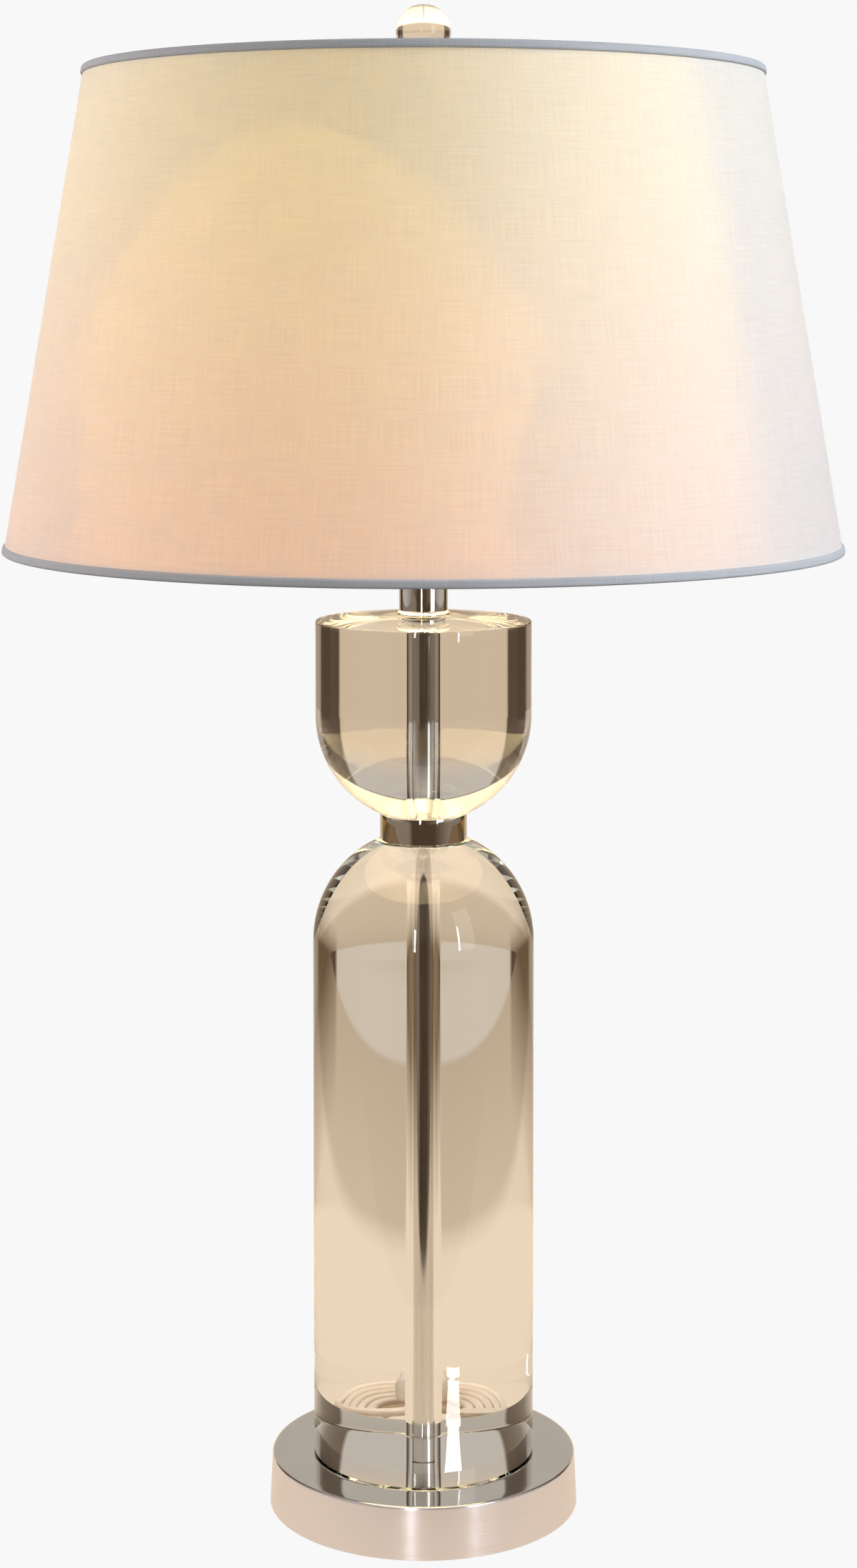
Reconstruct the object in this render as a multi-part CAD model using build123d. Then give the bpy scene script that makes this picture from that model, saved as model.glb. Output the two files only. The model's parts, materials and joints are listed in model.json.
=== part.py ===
from build123d import *
import math
import os

# Table lamp: two clear crystal columns stacked on a round polished base, an empire shade on a harp
# and a crystal ball finial. Millimetres, +Z up, +Y to the rear, origin on the table below the axis.

# Clearances
hand_gap = 0.3        # between pieces that move past each other
seat_gap = 0.2        # between pieces that rest on each other but come apart
bore_gap = 0.4        # round the pipe, in every piece threaded onto it
loose_gap = 0.5       # round pieces that drop into a housing

# Base
base_bottom_radius = 75.4
base_top_radius = 74.2
base_height = 25.0
base_wall = 1.6
base_edge_round = 1.4
base_rim_lift = 0.5   # the felt stands this far below the metal rim
felt_thick = 1.6
cover_thick = 1.2
weight_thick = 5.0
weight_chamfer = 1.5
weight_side_gap = 1.2
lock_washer_radius = 12.5
lock_washer_thick = 1.2
nut_across_flats = 16.0
nut_thick = 3.5

# Pipe
pipe_diameter = 10.0
pipe_bore = 7.0
pipe_below_nut = 1.0
pipe_into_cap = 7.5

# Crystal columns and the metal between them
foot_gasket_radius = 30.0
foot_gasket_thick = 0.6
column_bore = 11.5
lower_radius = 53.8
lower_height = 301.3
lower_seat_radius = 22.6
upper_radius = 52.5
upper_height = 93.8
upper_seat_radius = 21.5
column_edge_round = 0.8
collar_radius = 21.1
collar_height = 13.0
collar_edge = 0.4
collar_gasket_inset = 1.5
collar_gasket_thick = 0.4

# Neck
neck_washer_radius = 11.0
neck_washer_thick = 1.0
neck_ring_radius = 13.1
neck_ring_height = 4.2
neck_radius = 11.8
neck_height = 38.0
neck_wall = 1.2
neck_top_thick = 1.6

# Harp
saddle_thick = 1.2
saddle_width = 11.0
saddle_flat = 17.0    # half length of the flat that the socket stands on
saddle_half_span = 31.0
saddle_rise = 18.0
saddle_bend = 5.0
shoulder_radius = 4.4
shoulder_thick = 2.0
prong_height = 9.0
harp_wire = 4.0
harp_height = 205.3
harp_half_width = 54.0
harp_foot_length = 29.0
harp_flare_rise = 36.0
harp_side_length = 58.0
harp_top_half_width = 28.0
harp_foot_round = 24.0
harp_hip_round = 40.0
harp_shoulder_round = 60.0
harp_crown_round = 24.0
boss_radius = 6.5
boss_thick = 4.0
sleeve_radius = 4.2
sleeve_length = 16.0
sleeve_bead = 0.4
stud_flange_radius = 5.5
stud_flange_thick = 1.5
stud_thread = 6.1
stud_length = 12.5

# Socket
cap_hub_radius = 7.5
cap_hub_height = 4.6
cap_flare_height = 8.0
cap_skirt_height = 6.5
cap_wall = 0.9
shell_height = 47.0
shell_into_cap = 4.5
shell_wall = 0.7
shell_fit = 0.3
shell_lip = 0.9
shell_lip_height = 3.0
liner_wall = 0.8
liner_fit = 0.3
liner_short = 1.0
core_height = 20.0
contact_radius = 3.5
contact_height = 2.2
screw_shell_wall = 0.5
screw_shell_height = 23.5
terminal_radius = 2.3
terminal_head = 1.2
terminal_shank_radius = 1.4
terminal_shank = 4.0
terminal_flat = 1.8   # depth of the flats that the terminal screws stand on

# Switch
stem_diameter = 5.0
stem_fit = 0.3
stem_depth = 9.0      # inside the core
stem_hole = 7.0
knob_diameter = 10.0
knob_length = 15.0
knob_gap = 3.0        # between the socket's shell and the knob
knob_flutes = 12
knob_flute_radius = 0.9
knob_crown = 1.5
knob_fit = 0.15
knob_cap = 3.0        # solid end of the knob past its stem

# Bulb
bulb_cap_radius = 13.0
bulb_cap_height = 17.5
bulb_cap_wall = 0.5
bulb_cap_floor = 0.8
insulator_height = 4.5
insulator_radius = 11.5
tip_radius = 4.0
tip_height = 1.7
globe_radius = 30.0
globe_wall = 1.0
globe_neck_radius = 12.2
globe_length = 92.0
globe_in_cap = 6.0
globe_neck_rise = 10.0

# Shade
shade_bottom_radius = 203.0
shade_top_radius = 163.6
shade_height = 231.4
shade_skin = 1.0
hem_height = 4.0
hem_depth = 4.6
hem_round = 1.4
hem_fold_ease = 0.45  # how close a fold's curve keeps to its corner
ring_wire = 2.4
ring_fit = 0.2
spider_wire = 2.0
spider_arms = 3
spider_drop = 11.0    # from the top ring's centre down to the washer's middle
spider_flat = 26.0    # the arms run level as far as this radius
spider_rise_run = 22.0 # length over which they rise to the ring
spider_arm_bend = 12.0
spider_weld = 0.6     # depth of the weld between arm and washer
spider_washer_radius = 16.0
spider_washer_thick = 1.6
spider_hole_gap = 0.45
spider_arm_root = 9.0

# Finial
ball_radius = 13.2
finial_base_height = 16.4
finial_foot_radius = 8.0
finial_foot_height = 2.0
finial_waist_radius = 5.8
finial_cup_radius = 9.0
finial_cup_lip = 2.6
insert_radius = 4.6
insert_height = 12.0
insert_gap = 0.2

# Cord outlet in the base
outlet_height = 9.0
outlet_turn = 24.0    # degrees from the rear towards the left
bushing_root_radius = 5.25
bushing_tip_radius = 4.0
bushing_out = 16.0
bushing_neck_radius = 4.3
bushing_flange_thick = 3.0
bushing_stand_off = 0.5

# Cord: a twin flex, put away in a neat coil behind the base
cord_diameter = 5.0
inner_bend = 6.5
coil_centre = (0.0, 126.0)
coil_start_angle = 180.0
coil_outer_radius = 41.5
coil_pitch = 5.5
coil_turns = 9.5
coil_low = 3.7        # height of the lower layer's centre line
coil_layer_rise = 5.5
coil_steps_per_turn = 4
tie_angle = 225.0
tie_width = 6.0
tie_thick = 0.8
tie_round = 3.0
tie_gap = 0.35

# Plug
plug_length = 27.0
plug_width = 21.0
plug_thick = 12.0
plug_round = 3.5
plug_taper_length = 11.0
plug_taper_radius = 4.2
blade_spacing = 12.7
blade_width = 6.3
blade_thick = 1.5
blade_length = 16.5
blade_tip = 1.2

# Levels, from the table upwards
shell_low = base_rim_lift
base_top = shell_low + base_height
plate_under = base_top - base_wall
weight_low = plate_under - weight_thick
lock_washer_low = weight_low - lock_washer_thick
nut_low = lock_washer_low - nut_thick
pipe_low = nut_low - pipe_below_nut
lower_low = base_top + foot_gasket_thick
lower_top = lower_low + lower_height
collar_low = lower_top + collar_gasket_thick
collar_top = collar_low + collar_height
upper_low = collar_top + collar_gasket_thick
upper_top = upper_low + upper_height
neck_ring_low = upper_top + neck_washer_thick
neck_low = neck_ring_low + neck_ring_height
neck_top = neck_low + neck_height
cap_low = neck_top + saddle_thick
pipe_top = cap_low + pipe_into_cap
cap_top = cap_low + cap_hub_height + cap_flare_height + cap_skirt_height
socket_low = cap_top - shell_into_cap
socket_top = socket_low + shell_height
core_top = socket_low + core_height
tip_low = core_top + contact_height + hand_gap
bulb_cap_low = tip_low + tip_height + insulator_height
bulb_cap_top = bulb_cap_low + bulb_cap_height
globe_low = bulb_cap_top - globe_in_cap
globe_top = globe_low + globe_length
shoulder_top = neck_top + saddle_thick + saddle_rise + shoulder_thick
prong_top = shoulder_top + prong_height
harp_low = prong_top + seat_gap
harp_axis_top = neck_top + harp_height
boss_top = harp_axis_top + boss_thick - harp_wire / 2
stud_seat = boss_top + stud_flange_thick
washer_low = stud_seat + seat_gap
washer_middle = washer_low + spider_washer_thick / 2
ring_level = washer_middle + spider_drop
shade_top = ring_level + hem_height / 2
shade_low = shade_top - shade_height
low_ring_level = shade_low + hem_height / 2
bead_radius = (ring_wire + ring_fit) / 2
finial_low = washer_low + spider_washer_thick + seat_gap
ball_centre = finial_low + finial_base_height + ball_radius

# Radii of the socket's nested pieces, from the bulb's cap outwards
screw_shell_radius = bulb_cap_radius + hand_gap + screw_shell_wall
core_radius = screw_shell_radius
liner_radius = core_radius + loose_gap + liner_wall
shell_radius = liner_radius + liner_fit + shell_wall
cap_radius = shell_radius + shell_fit + cap_wall

bore_radius = pipe_diameter / 2 + bore_gap
cord_radius = cord_diameter / 2
coil_top = coil_low + coil_layer_rise + cord_radius
plug_level = coil_top + hand_gap + plug_thick / 2


def turned(*edges):
    """A solid of revolution about the lamp's axis, from an outline of radius and height."""
    return revolve(Plane.XZ * make_face(Curve() + list(edges)), Axis.Z)


def ring(outer, inner, low, high):
    """A plain washer or tube on the lamp's axis."""
    return turned(Polyline((inner, low), (outer, low), (outer, high), (inner, high), close=True))


def rounded(points, radii):
    """A closed outline whose corners have the given radii."""
    return FilletPolyline(*points, radius=radii, close=True)


def folded(points, reach):
    """A closed outline of rolled cloth, whose corners bend over from the given distance on each side."""
    corners = [Vector(*point) for point in points]
    bends = []
    for place, corner in enumerate(corners):
        ahead_corner = corners[(place + 1) % len(corners)]
        back = (corners[place - 1] - corner).normalized() * reach
        ahead = (ahead_corner - corner).normalized() * reach
        bends.append(Bezier(corner + back, corner + back * hem_fold_ease, corner + ahead * hem_fold_ease,
                            corner + ahead))
    sides = [Line(bend @ 1, following @ 0) for bend, following in zip(bends, bends[1:] + bends[:1])]
    return bends + sides


def tube_along(path, radius):
    """A round bar or cord along a path."""
    start = path @ 0
    return sweep(Plane(origin=start, z_dir=path % 0) * Circle(radius), path)


def wire_ring(radius, level, wire):
    """A ring of round wire."""
    return turned(Pos(radius, level) * CenterArc((0, 0), wire / 2, 0, 360))


def wall_radius(level):
    """The base's outside radius at a height."""
    share = (level - shell_low) / base_height
    return base_bottom_radius + (base_top_radius - base_bottom_radius) * share


def outlet_plane(distance):
    """A plane across the cord outlet, facing outwards, this far from the axis."""
    turn = math.radians(outlet_turn)
    out = Vector(-math.sin(turn), math.cos(turn), 0)
    return Plane(origin=out * distance + Vector(0, 0, outlet_height), x_dir=(0, 0, 1), z_dir=out)


def base_shell():
    """Spun metal shell, open below, with holes for the pipe and for the cord bushing."""
    inner_bottom = base_bottom_radius - base_wall
    inner_top = base_top_radius - base_wall
    points = [(bore_radius, base_top), (base_top_radius, base_top), (base_bottom_radius, shell_low),
              (inner_bottom, shell_low), (inner_top, plate_under), (bore_radius, plate_under)]
    inner_round = max(base_edge_round - base_wall / 2, 0)
    shell = turned(rounded(points, [0, base_edge_round, 0, 0, inner_round, 0]))
    hole = outlet_plane(inner_top / 2) * Cylinder(
        bushing_neck_radius + bore_gap, base_bottom_radius, align=(Align.CENTER, Align.CENTER, Align.MIN))
    return shell - hole


def base_weight():
    """Cast ring under the base's top plate."""
    outer = base_top_radius - base_wall - weight_side_gap
    points = [(bore_radius, weight_low), (outer - weight_chamfer, weight_low),
              (outer, weight_low + weight_chamfer), (outer, plate_under), (bore_radius, plate_under)]
    return turned(Polyline(*points, close=True))


def felt_pad():
    """Felt disc that the lamp stands on."""
    return Pos(0, 0, felt_thick / 2) * Cylinder(base_bottom_radius - base_wall - loose_gap, felt_thick)


def base_cover():
    """Fibre board that closes the base above the felt."""
    middle = felt_thick + cover_thick / 2
    return Pos(0, 0, middle) * Cylinder(base_bottom_radius - base_wall - loose_gap, cover_thick)


def base_lock_washer():
    """Washer between the nut and the weight."""
    return ring(lock_washer_radius, bore_radius, lock_washer_low, weight_low)


def base_nut():
    """Hex nut at the pipe's lower end."""
    hexagon = RegularPolygon(nut_across_flats / 2, 6, major_radius=False) - Circle(bore_radius)
    return Pos(0, 0, nut_low) * extrude(hexagon, nut_thick)


def lamp_pipe():
    """Threaded pipe that clamps the whole stand together and carries the cord."""
    return ring(pipe_diameter / 2, pipe_bore / 2, pipe_low, pipe_top)


def foot_gasket():
    """Clear washer between the base and the lower column."""
    return ring(foot_gasket_radius, bore_radius, base_top, lower_low)


def lower_crystal():
    """Tall clear column with a rounded top that is cut flat for the collar."""
    drop = math.sqrt(lower_radius ** 2 - lower_seat_radius ** 2)
    centre = lower_top - drop
    hole = column_bore / 2
    edge = column_edge_round
    middle = math.radians(45)
    outline = [
        Polyline((lower_seat_radius, lower_top), (hole, lower_top), (hole, lower_low),
                 (lower_radius - edge, lower_low)),
        RadiusArc((lower_radius - edge, lower_low), (lower_radius, lower_low + edge), -edge),
        Line((lower_radius, lower_low + edge), (lower_radius, centre)),
        ThreePointArc((lower_radius, centre),
                      (lower_radius * math.cos(middle), centre + lower_radius * math.sin(middle)),
                      (lower_seat_radius, lower_top)),
    ]
    return turned(*outline)


def upper_crystal():
    """Short clear column with a rounded bottom that is cut flat for the collar."""
    rise = math.sqrt(upper_radius ** 2 - upper_seat_radius ** 2)
    centre = upper_low + rise
    hole = column_bore / 2
    edge = column_edge_round
    middle = math.radians(45)
    outline = [
        Polyline((upper_seat_radius, upper_low), (hole, upper_low), (hole, upper_top),
                 (upper_radius - edge, upper_top)),
        RadiusArc((upper_radius - edge, upper_top), (upper_radius, upper_top - edge), edge),
        Line((upper_radius, upper_top - edge), (upper_radius, centre)),
        ThreePointArc((upper_radius, centre),
                      (upper_radius * math.cos(middle), centre - upper_radius * math.sin(middle)),
                      (upper_seat_radius, upper_low)),
    ]
    return turned(*outline)


def collar():
    """Turned metal ring between the columns."""
    body = ring(collar_radius, bore_radius, collar_low, collar_top)
    return chamfer(body.edges().filter_by(GeomType.CIRCLE).sort_by(SortBy.RADIUS)[-2:], collar_edge)


def collar_gaskets():
    """Clear washers above and below the collar."""
    outer = collar_radius - collar_gasket_inset
    below = ring(outer, bore_radius, lower_top, collar_low)
    above = ring(outer, bore_radius, collar_top, upper_low)
    return Compound([below, above])


def neck_washer():
    """Thin metal washer on the upper column."""
    return ring(neck_washer_radius, bore_radius, upper_top, neck_ring_low)


def neck_ring():
    """Ring with a half-round edge under the neck tube."""
    half = neck_ring_height / 2
    flat = neck_ring_radius - half
    outline = [
        Polyline((flat, neck_low), (bore_radius, neck_low), (bore_radius, neck_ring_low),
                 (flat, neck_ring_low)),
        ThreePointArc((flat, neck_ring_low), (neck_ring_radius, neck_ring_low + half), (flat, neck_low)),
    ]
    return turned(*outline)


def neck_tube():
    """Drawn tube with a closed top that carries the harp's saddle."""
    inner = neck_radius - neck_wall
    ceiling = neck_top - neck_top_thick
    points = [(neck_radius, neck_low), (neck_radius, neck_top), (bore_radius, neck_top),
              (bore_radius, ceiling), (inner, ceiling), (inner, neck_low)]
    return turned(Polyline(*points, close=True))


def harp_saddle():
    """Bent strip under the socket, with a shouldered prong at each end for the harp."""
    level = neck_top + saddle_thick / 2
    arm_top = shoulder_top - shoulder_thick
    span = saddle_half_span
    corner = (span, level + saddle_rise / 2)
    bend_points = [(-span, arm_top), (-corner[0], corner[1]), (-saddle_flat, level),
                   (saddle_flat, level), corner, (span, arm_top)]
    strip = Plane.XZ * trace(FilletPolyline(*bend_points, radius=saddle_bend), saddle_thick)
    saddle = extrude(strip, saddle_width / 2, both=True)
    saddle -= Pos(0, 0, level) * Cylinder(bore_radius, saddle_thick * 2)
    for side in (-1, 1):
        shoulder = Pos(side * span, 0, arm_top + shoulder_thick / 2)
        prong = Pos(side * span, 0, shoulder_top + prong_height / 2)
        saddle += shoulder * Cylinder(shoulder_radius, shoulder_thick)
        saddle += prong * Cylinder(harp_wire / 2, prong_height)
    return saddle


def harp_bow():
    """Sprung wire bow with a swaged boss at its crown."""
    knee = harp_low + harp_foot_length
    hip = knee + harp_flare_rise
    shoulder = hip + harp_side_length
    half = [(saddle_half_span, harp_low), (saddle_half_span, knee), (harp_half_width, hip),
            (harp_half_width, shoulder), (harp_top_half_width, harp_axis_top)]
    points = [(-x, z) for x, z in half] + [(x, z) for x, z in reversed(half)]
    rounds = [harp_foot_round, harp_hip_round, harp_shoulder_round, harp_crown_round]
    path = Plane.XZ * FilletPolyline(*points, radius=rounds + rounds[::-1])
    boss = Pos(0, 0, boss_top - boss_thick / 2) * Cylinder(boss_radius, boss_thick)
    return tube_along(path, harp_wire / 2) + boss


def harp_stud():
    """Threaded stud on the harp's crown, with the flange that the shade rests on."""
    flange = Pos(0, 0, boss_top + stud_flange_thick / 2) * Cylinder(stud_flange_radius, stud_flange_thick)
    thread = Pos(0, 0, stud_seat + stud_length / 2) * Cylinder(stud_thread / 2, stud_length)
    return flange + thread


def harp_sleeve(side):
    """Locking sleeve that slides up the harp's foot to free it."""
    inner = harp_wire / 2 + hand_gap
    low = shoulder_top + seat_gap
    high = low + sleeve_length
    bead = sleeve_bead
    points = [(inner, low), (sleeve_radius, low), (sleeve_radius, low + 4 * bead),
              (sleeve_radius - bead, low + 5 * bead), (sleeve_radius - bead, high - bead),
              (sleeve_radius - 2 * bead, high), (inner, high)]
    return Pos(side * saddle_half_span, 0, 0) * turned(Polyline(*points, close=True))


def socket_cap():
    """Pressed cap that screws onto the pipe: a hub, a flare and a straight skirt."""
    hub_top = cap_low + cap_hub_height
    flare_top = hub_top + cap_flare_height
    wall = cap_wall
    outside = [
        Line((cap_hub_radius, cap_low), (cap_hub_radius, hub_top)),
        Bezier((cap_hub_radius, hub_top), (cap_radius, hub_top), (cap_radius, flare_top)),
        Line((cap_radius, flare_top), (cap_radius, cap_top)),
    ]
    rim = Line((cap_radius, cap_top), (cap_radius - wall, cap_top))
    inside = [
        Line((cap_radius - wall, cap_top), (cap_radius - wall, flare_top)),
        Bezier((cap_radius - wall, flare_top), (cap_radius - wall, hub_top + wall),
               (cap_hub_radius - wall, hub_top + wall)),
        Polyline((cap_hub_radius - wall, hub_top + wall), (bore_radius, hub_top + wall),
                 (bore_radius, cap_low), (cap_hub_radius, cap_low)),
    ]
    return turned(*outside, rim, *inside)


def stem_passage(radius, start, stop):
    """The switch stem's way out towards the front."""
    level = socket_low + core_height / 2
    middle = -(start + stop) / 2
    return Pos(0, middle, level) * Rot(90, 0, 0) * Cylinder(radius, stop - start)


def socket_shell():
    """Drawn shell with a turned lip and a hole for the switch stem."""
    inner = shell_radius - shell_wall
    lip_low = socket_top - shell_lip_height
    points = [(inner, socket_low), (shell_radius, socket_low), (shell_radius, lip_low),
              (shell_radius + shell_lip, lip_low + shell_lip), (shell_radius + shell_lip, socket_top),
              (inner + shell_lip, socket_top), (inner, lip_low)]
    return turned(Polyline(*points, close=True)) - stem_passage(stem_hole / 2, 0, cap_radius * 2)


def socket_liner():
    """Paper tube that insulates the shell."""
    high = socket_top - shell_lip_height - liner_short
    tube = ring(liner_radius, liner_radius - liner_wall, socket_low, high)
    return tube - stem_passage(stem_hole / 2, 0, cap_radius * 2)


def socket_core():
    """Moulded core that holds the switch, with a flat on each side for a terminal screw."""
    body = Pos(0, 0, socket_low + core_height / 2) * Cylinder(core_radius, core_height)
    body -= stem_passage(stem_diameter / 2 + stem_fit, core_radius - stem_depth - stem_fit, core_radius * 2)
    for side in (-1, 1):
        flat_at = core_radius - terminal_flat
        cut = Pos(side * (flat_at + core_radius), 0, socket_low + core_height / 4)
        body -= cut * Box(core_radius * 2, core_radius * 2, core_height / 2)
        hole = Pos(side * (flat_at - terminal_shank / 2), 0, socket_low + core_height / 4) * Rot(0, 90, 0)
        body -= hole * Cylinder(terminal_shank_radius, terminal_shank)
    return body


def terminal_screws():
    """The two screws that hold the cord's conductors."""
    screws = []
    for side in (-1, 1):
        flat_at = core_radius - terminal_flat
        level = socket_low + core_height / 4
        shank = Pos(side * (flat_at - terminal_shank / 2), 0, level) * Rot(0, 90, 0)
        head = Pos(side * (flat_at + terminal_head / 2), 0, level) * Rot(0, 90, 0)
        body = shank * Cylinder(terminal_shank_radius, terminal_shank)
        body += head * Cylinder(terminal_radius, terminal_head)
        screws.append(body.solid())
    return Compound(screws)


def centre_contact():
    """Sprung contact on top of the core."""
    half = contact_radius * 0.6
    high = core_top + contact_height
    points = [(0, core_top), (contact_radius, core_top), (half, high), (0, high)]
    return turned(Polyline(*points, close=True))


def screw_shell():
    """Brass shell that the bulb screws into."""
    inner = screw_shell_radius - screw_shell_wall
    return ring(screw_shell_radius, inner, core_top, core_top + screw_shell_height)


def switch_stem():
    """Stem from the switch to the knob."""
    stop = shell_radius + knob_gap + knob_length - knob_cap
    return stem_passage(stem_diameter / 2, core_radius - stem_depth, stop - knob_fit)


def switch_knob():
    """Fluted turn knob with a crowned end."""
    start = shell_radius + knob_gap
    stop = start + knob_length
    knob = stem_passage(knob_diameter / 2, start, stop)
    front = knob.edges().filter_by(GeomType.CIRCLE).sort_by(Axis.Y)[0]
    knob = fillet(front, knob_crown)
    level = socket_low + core_height / 2
    for place in PolarLocations(knob_diameter / 2, knob_flutes):
        across = place.position
        flute = Pos(across.X, -(start + stop) / 2, level + across.Y) * Rot(90, 0, 0)
        knob -= flute * Cylinder(knob_flute_radius, knob_length)
    return knob - stem_passage(stem_diameter / 2 + knob_fit, start, stop - knob_cap)


def bulb_tip():
    """Contact at the bulb's foot."""
    return ring(tip_radius, 0, tip_low, tip_low + tip_height)


def bulb_insulator():
    """Dark insulator between the contact and the cap."""
    low = tip_low + tip_height
    points = [(0, low), (tip_radius, low), (insulator_radius, bulb_cap_low), (0, bulb_cap_low)]
    return turned(Polyline(*points, close=True))


def bulb_cap():
    """Screw cap, closed below by the insulator."""
    inner = bulb_cap_radius - bulb_cap_wall
    slant_top = bulb_cap_low + bulb_cap_radius - insulator_radius
    floor_top = bulb_cap_low + bulb_cap_floor
    points = [(0, bulb_cap_low), (insulator_radius, bulb_cap_low), (bulb_cap_radius, slant_top),
              (bulb_cap_radius, bulb_cap_top), (inner, bulb_cap_top), (inner, slant_top + bulb_cap_wall),
              (insulator_radius - bulb_cap_wall, floor_top), (0, floor_top)]
    return turned(Polyline(*points, close=True))


def bulb_outline(inset):
    """The globe's outline from neck to crown, this far inside its outer surface."""
    centre = globe_top - globe_radius
    radius = globe_radius - inset
    neck = globe_neck_radius - inset
    neck_top_level = bulb_cap_top + globe_neck_rise
    lean = math.radians(-25)
    joint = (radius * math.cos(lean), centre + radius * math.sin(lean))
    crown = math.radians(45)
    crest = (radius * math.cos(crown), centre + radius * math.sin(crown))
    lead = (joint[1] - neck_top_level) * 0.45
    return [
        Line((neck, globe_low), (neck, neck_top_level)),
        Bezier((neck, neck_top_level), (neck, neck_top_level + lead),
               (joint[0] + math.sin(lean) * lead, joint[1] - math.cos(lean) * lead), joint),
        ThreePointArc(joint, crest, (0, centre + radius)),
    ]


def bulb_globe():
    """Hollow frosted globe, open at its neck inside the cap."""
    crown = globe_top
    outer = bulb_outline(0)
    inner = bulb_outline(globe_wall)
    return turned(*outer, Line((0, crown), (0, crown - globe_wall)), *inner,
                  Line((globe_neck_radius - globe_wall, globe_low), (globe_neck_radius, globe_low)))


def shade_slope():
    """How far the shade's radius shrinks for each millimetre of height."""
    return (shade_bottom_radius - shade_top_radius) / shade_height


def shade_radius(level):
    """The shade's outside radius at a height."""
    return shade_bottom_radius - shade_slope() * (level - shade_low)


def shade_skin_shell():
    """Stiff fabric skin between the hems."""
    low = shade_low + hem_height
    high = shade_top - hem_height
    outer_low = shade_radius(low) - hem_round
    outer_high = shade_radius(high) - hem_round
    points = [(outer_low, low), (outer_high, high), (outer_high - shade_skin, high),
              (outer_low - shade_skin, low)]
    return turned(Polyline(*points, close=True))


def hem_wire_radius(level):
    """The ring wire's radius, in the middle of its hem."""
    return shade_radius(level) - hem_depth / 2


def shade_hem(level):
    """Fabric rolled over a ring, leaning with the skin, with the ring's wire inside it."""
    low = level - hem_height / 2
    high = level + hem_height / 2
    points = [(shade_radius(low), low), (shade_radius(high), high),
              (shade_radius(high) - hem_depth, high), (shade_radius(low) - hem_depth, low)]
    body = turned(*folded(points, hem_round))
    return body - wire_ring(hem_wire_radius(level), level, ring_wire + 2 * ring_fit)


def shade_top_hem():
    """The top hem, with a pocket for each weld of the frame and a way out for each arm."""
    hem = shade_hem(ring_level)
    ring_radius = hem_wire_radius(ring_level)
    pocket = Pos(ring_radius, 0, ring_level) * Sphere(bead_radius + ring_fit)
    mouth = Pos(ring_radius - hem_depth / 2, 0, ring_level) * Rot(0, 90, 0)
    way = mouth * Cylinder(spider_wire / 2 + ring_fit, hem_depth)
    for turn in spider_turns():
        hem -= Rot(0, 0, turn) * pocket
    for turn in spider_turns():
        hem -= Rot(0, 0, turn) * way
    return hem


def shade_bottom_ring():
    """Ring wire in the bottom hem."""
    return wire_ring(hem_wire_radius(low_ring_level), low_ring_level, ring_wire)


def spider_turns():
    """The arms' directions: one to the rear and the others evenly round."""
    return [90 + turn * 360 / spider_arms for turn in range(spider_arms)]


def shade_frame():
    """Top ring, three wire arms and the washer that drops over the harp's stud, welded together."""
    hole = stud_thread / 2 + spider_hole_gap
    ring_radius = hem_wire_radius(ring_level)
    arm_level = washer_low + spider_washer_thick + spider_wire / 2 - spider_weld
    rise_end = spider_flat + spider_rise_run
    points = [(spider_arm_root, arm_level), (spider_flat, arm_level), (rise_end, ring_level),
              (ring_radius, ring_level)]
    arm = tube_along(Plane.XZ * FilletPolyline(*points, radius=spider_arm_bend), spider_wire / 2)
    bead = Pos(ring_radius, 0, ring_level) * Sphere(bead_radius)
    frame = wire_ring(ring_radius, ring_level, ring_wire)
    for turn in spider_turns():
        frame += Rot(0, 0, turn) * bead
    for turn in spider_turns():
        frame += Rot(0, 0, turn) * arm
    return frame + ring(spider_washer_radius, hole, washer_low, washer_low + spider_washer_thick)


def finial_base():
    """Turned metal foot, waist and cup that hold the ball."""
    foot_top = finial_low + finial_foot_height
    cup_low = finial_low + finial_base_height - finial_cup_lip
    cup_top = finial_low + finial_base_height + finial_cup_lip
    insert_hole = insert_radius + insert_gap
    roof = finial_low + insert_height + insert_gap
    outline = [
        Polyline((insert_hole, finial_low), (finial_foot_radius, finial_low), (finial_foot_radius, foot_top),
                 (finial_waist_radius, foot_top + finial_foot_height)),
        Bezier((finial_waist_radius, foot_top + finial_foot_height), (finial_waist_radius, cup_low),
               (finial_cup_radius, cup_low), (finial_cup_radius, cup_top)),
        Polyline((finial_cup_radius, cup_top), (0, cup_top), (0, roof), (insert_hole, roof),
                 (insert_hole, finial_low)),
    ]
    return turned(*outline) - Pos(0, 0, ball_centre) * Sphere(ball_radius + insert_gap)


def finial_insert():
    """Threaded insert that screws onto the harp's stud."""
    hole = stud_thread / 2 + seat_gap
    roof = finial_low + insert_height
    thread_top = stud_seat + stud_length + seat_gap
    points = [(hole, finial_low), (insert_radius, finial_low), (insert_radius, roof), (0, roof),
              (0, thread_top), (hole, thread_top)]
    return turned(Polyline(*points, close=True))


def finial_ball():
    """Clear crystal ball."""
    return Pos(0, 0, ball_centre) * Sphere(ball_radius)


def cord_bushing():
    """Tapered strain relief, with a neck through the base's wall and a flange inside it."""
    outside = wall_radius(outlet_height) + bushing_stand_off
    inside = wall_radius(outlet_height) - base_wall - bushing_stand_off
    tip = outside + bushing_out
    flange = inside - bushing_flange_thick
    hole = cord_radius + hand_gap
    points = [(hole, flange), (bushing_root_radius, flange), (bushing_root_radius, inside),
              (bushing_neck_radius, inside), (bushing_neck_radius, outside), (bushing_root_radius, outside),
              (bushing_tip_radius, tip), (hole, tip)]
    return outlet_plane(0) * turned(Polyline(*points, close=True))


def inner_cord():
    """The cord's run inside the lamp: in through the bushing and up the pipe to the socket."""
    turn = math.radians(outlet_turn)
    start = cord_exit_distance()
    points = [(-math.sin(turn) * start, math.cos(turn) * start, outlet_height), (0, 0, outlet_height),
              (0, 0, socket_low - seat_gap)]
    return tube_along(FilletPolyline(*points, radius=inner_bend), cord_radius)


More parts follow.
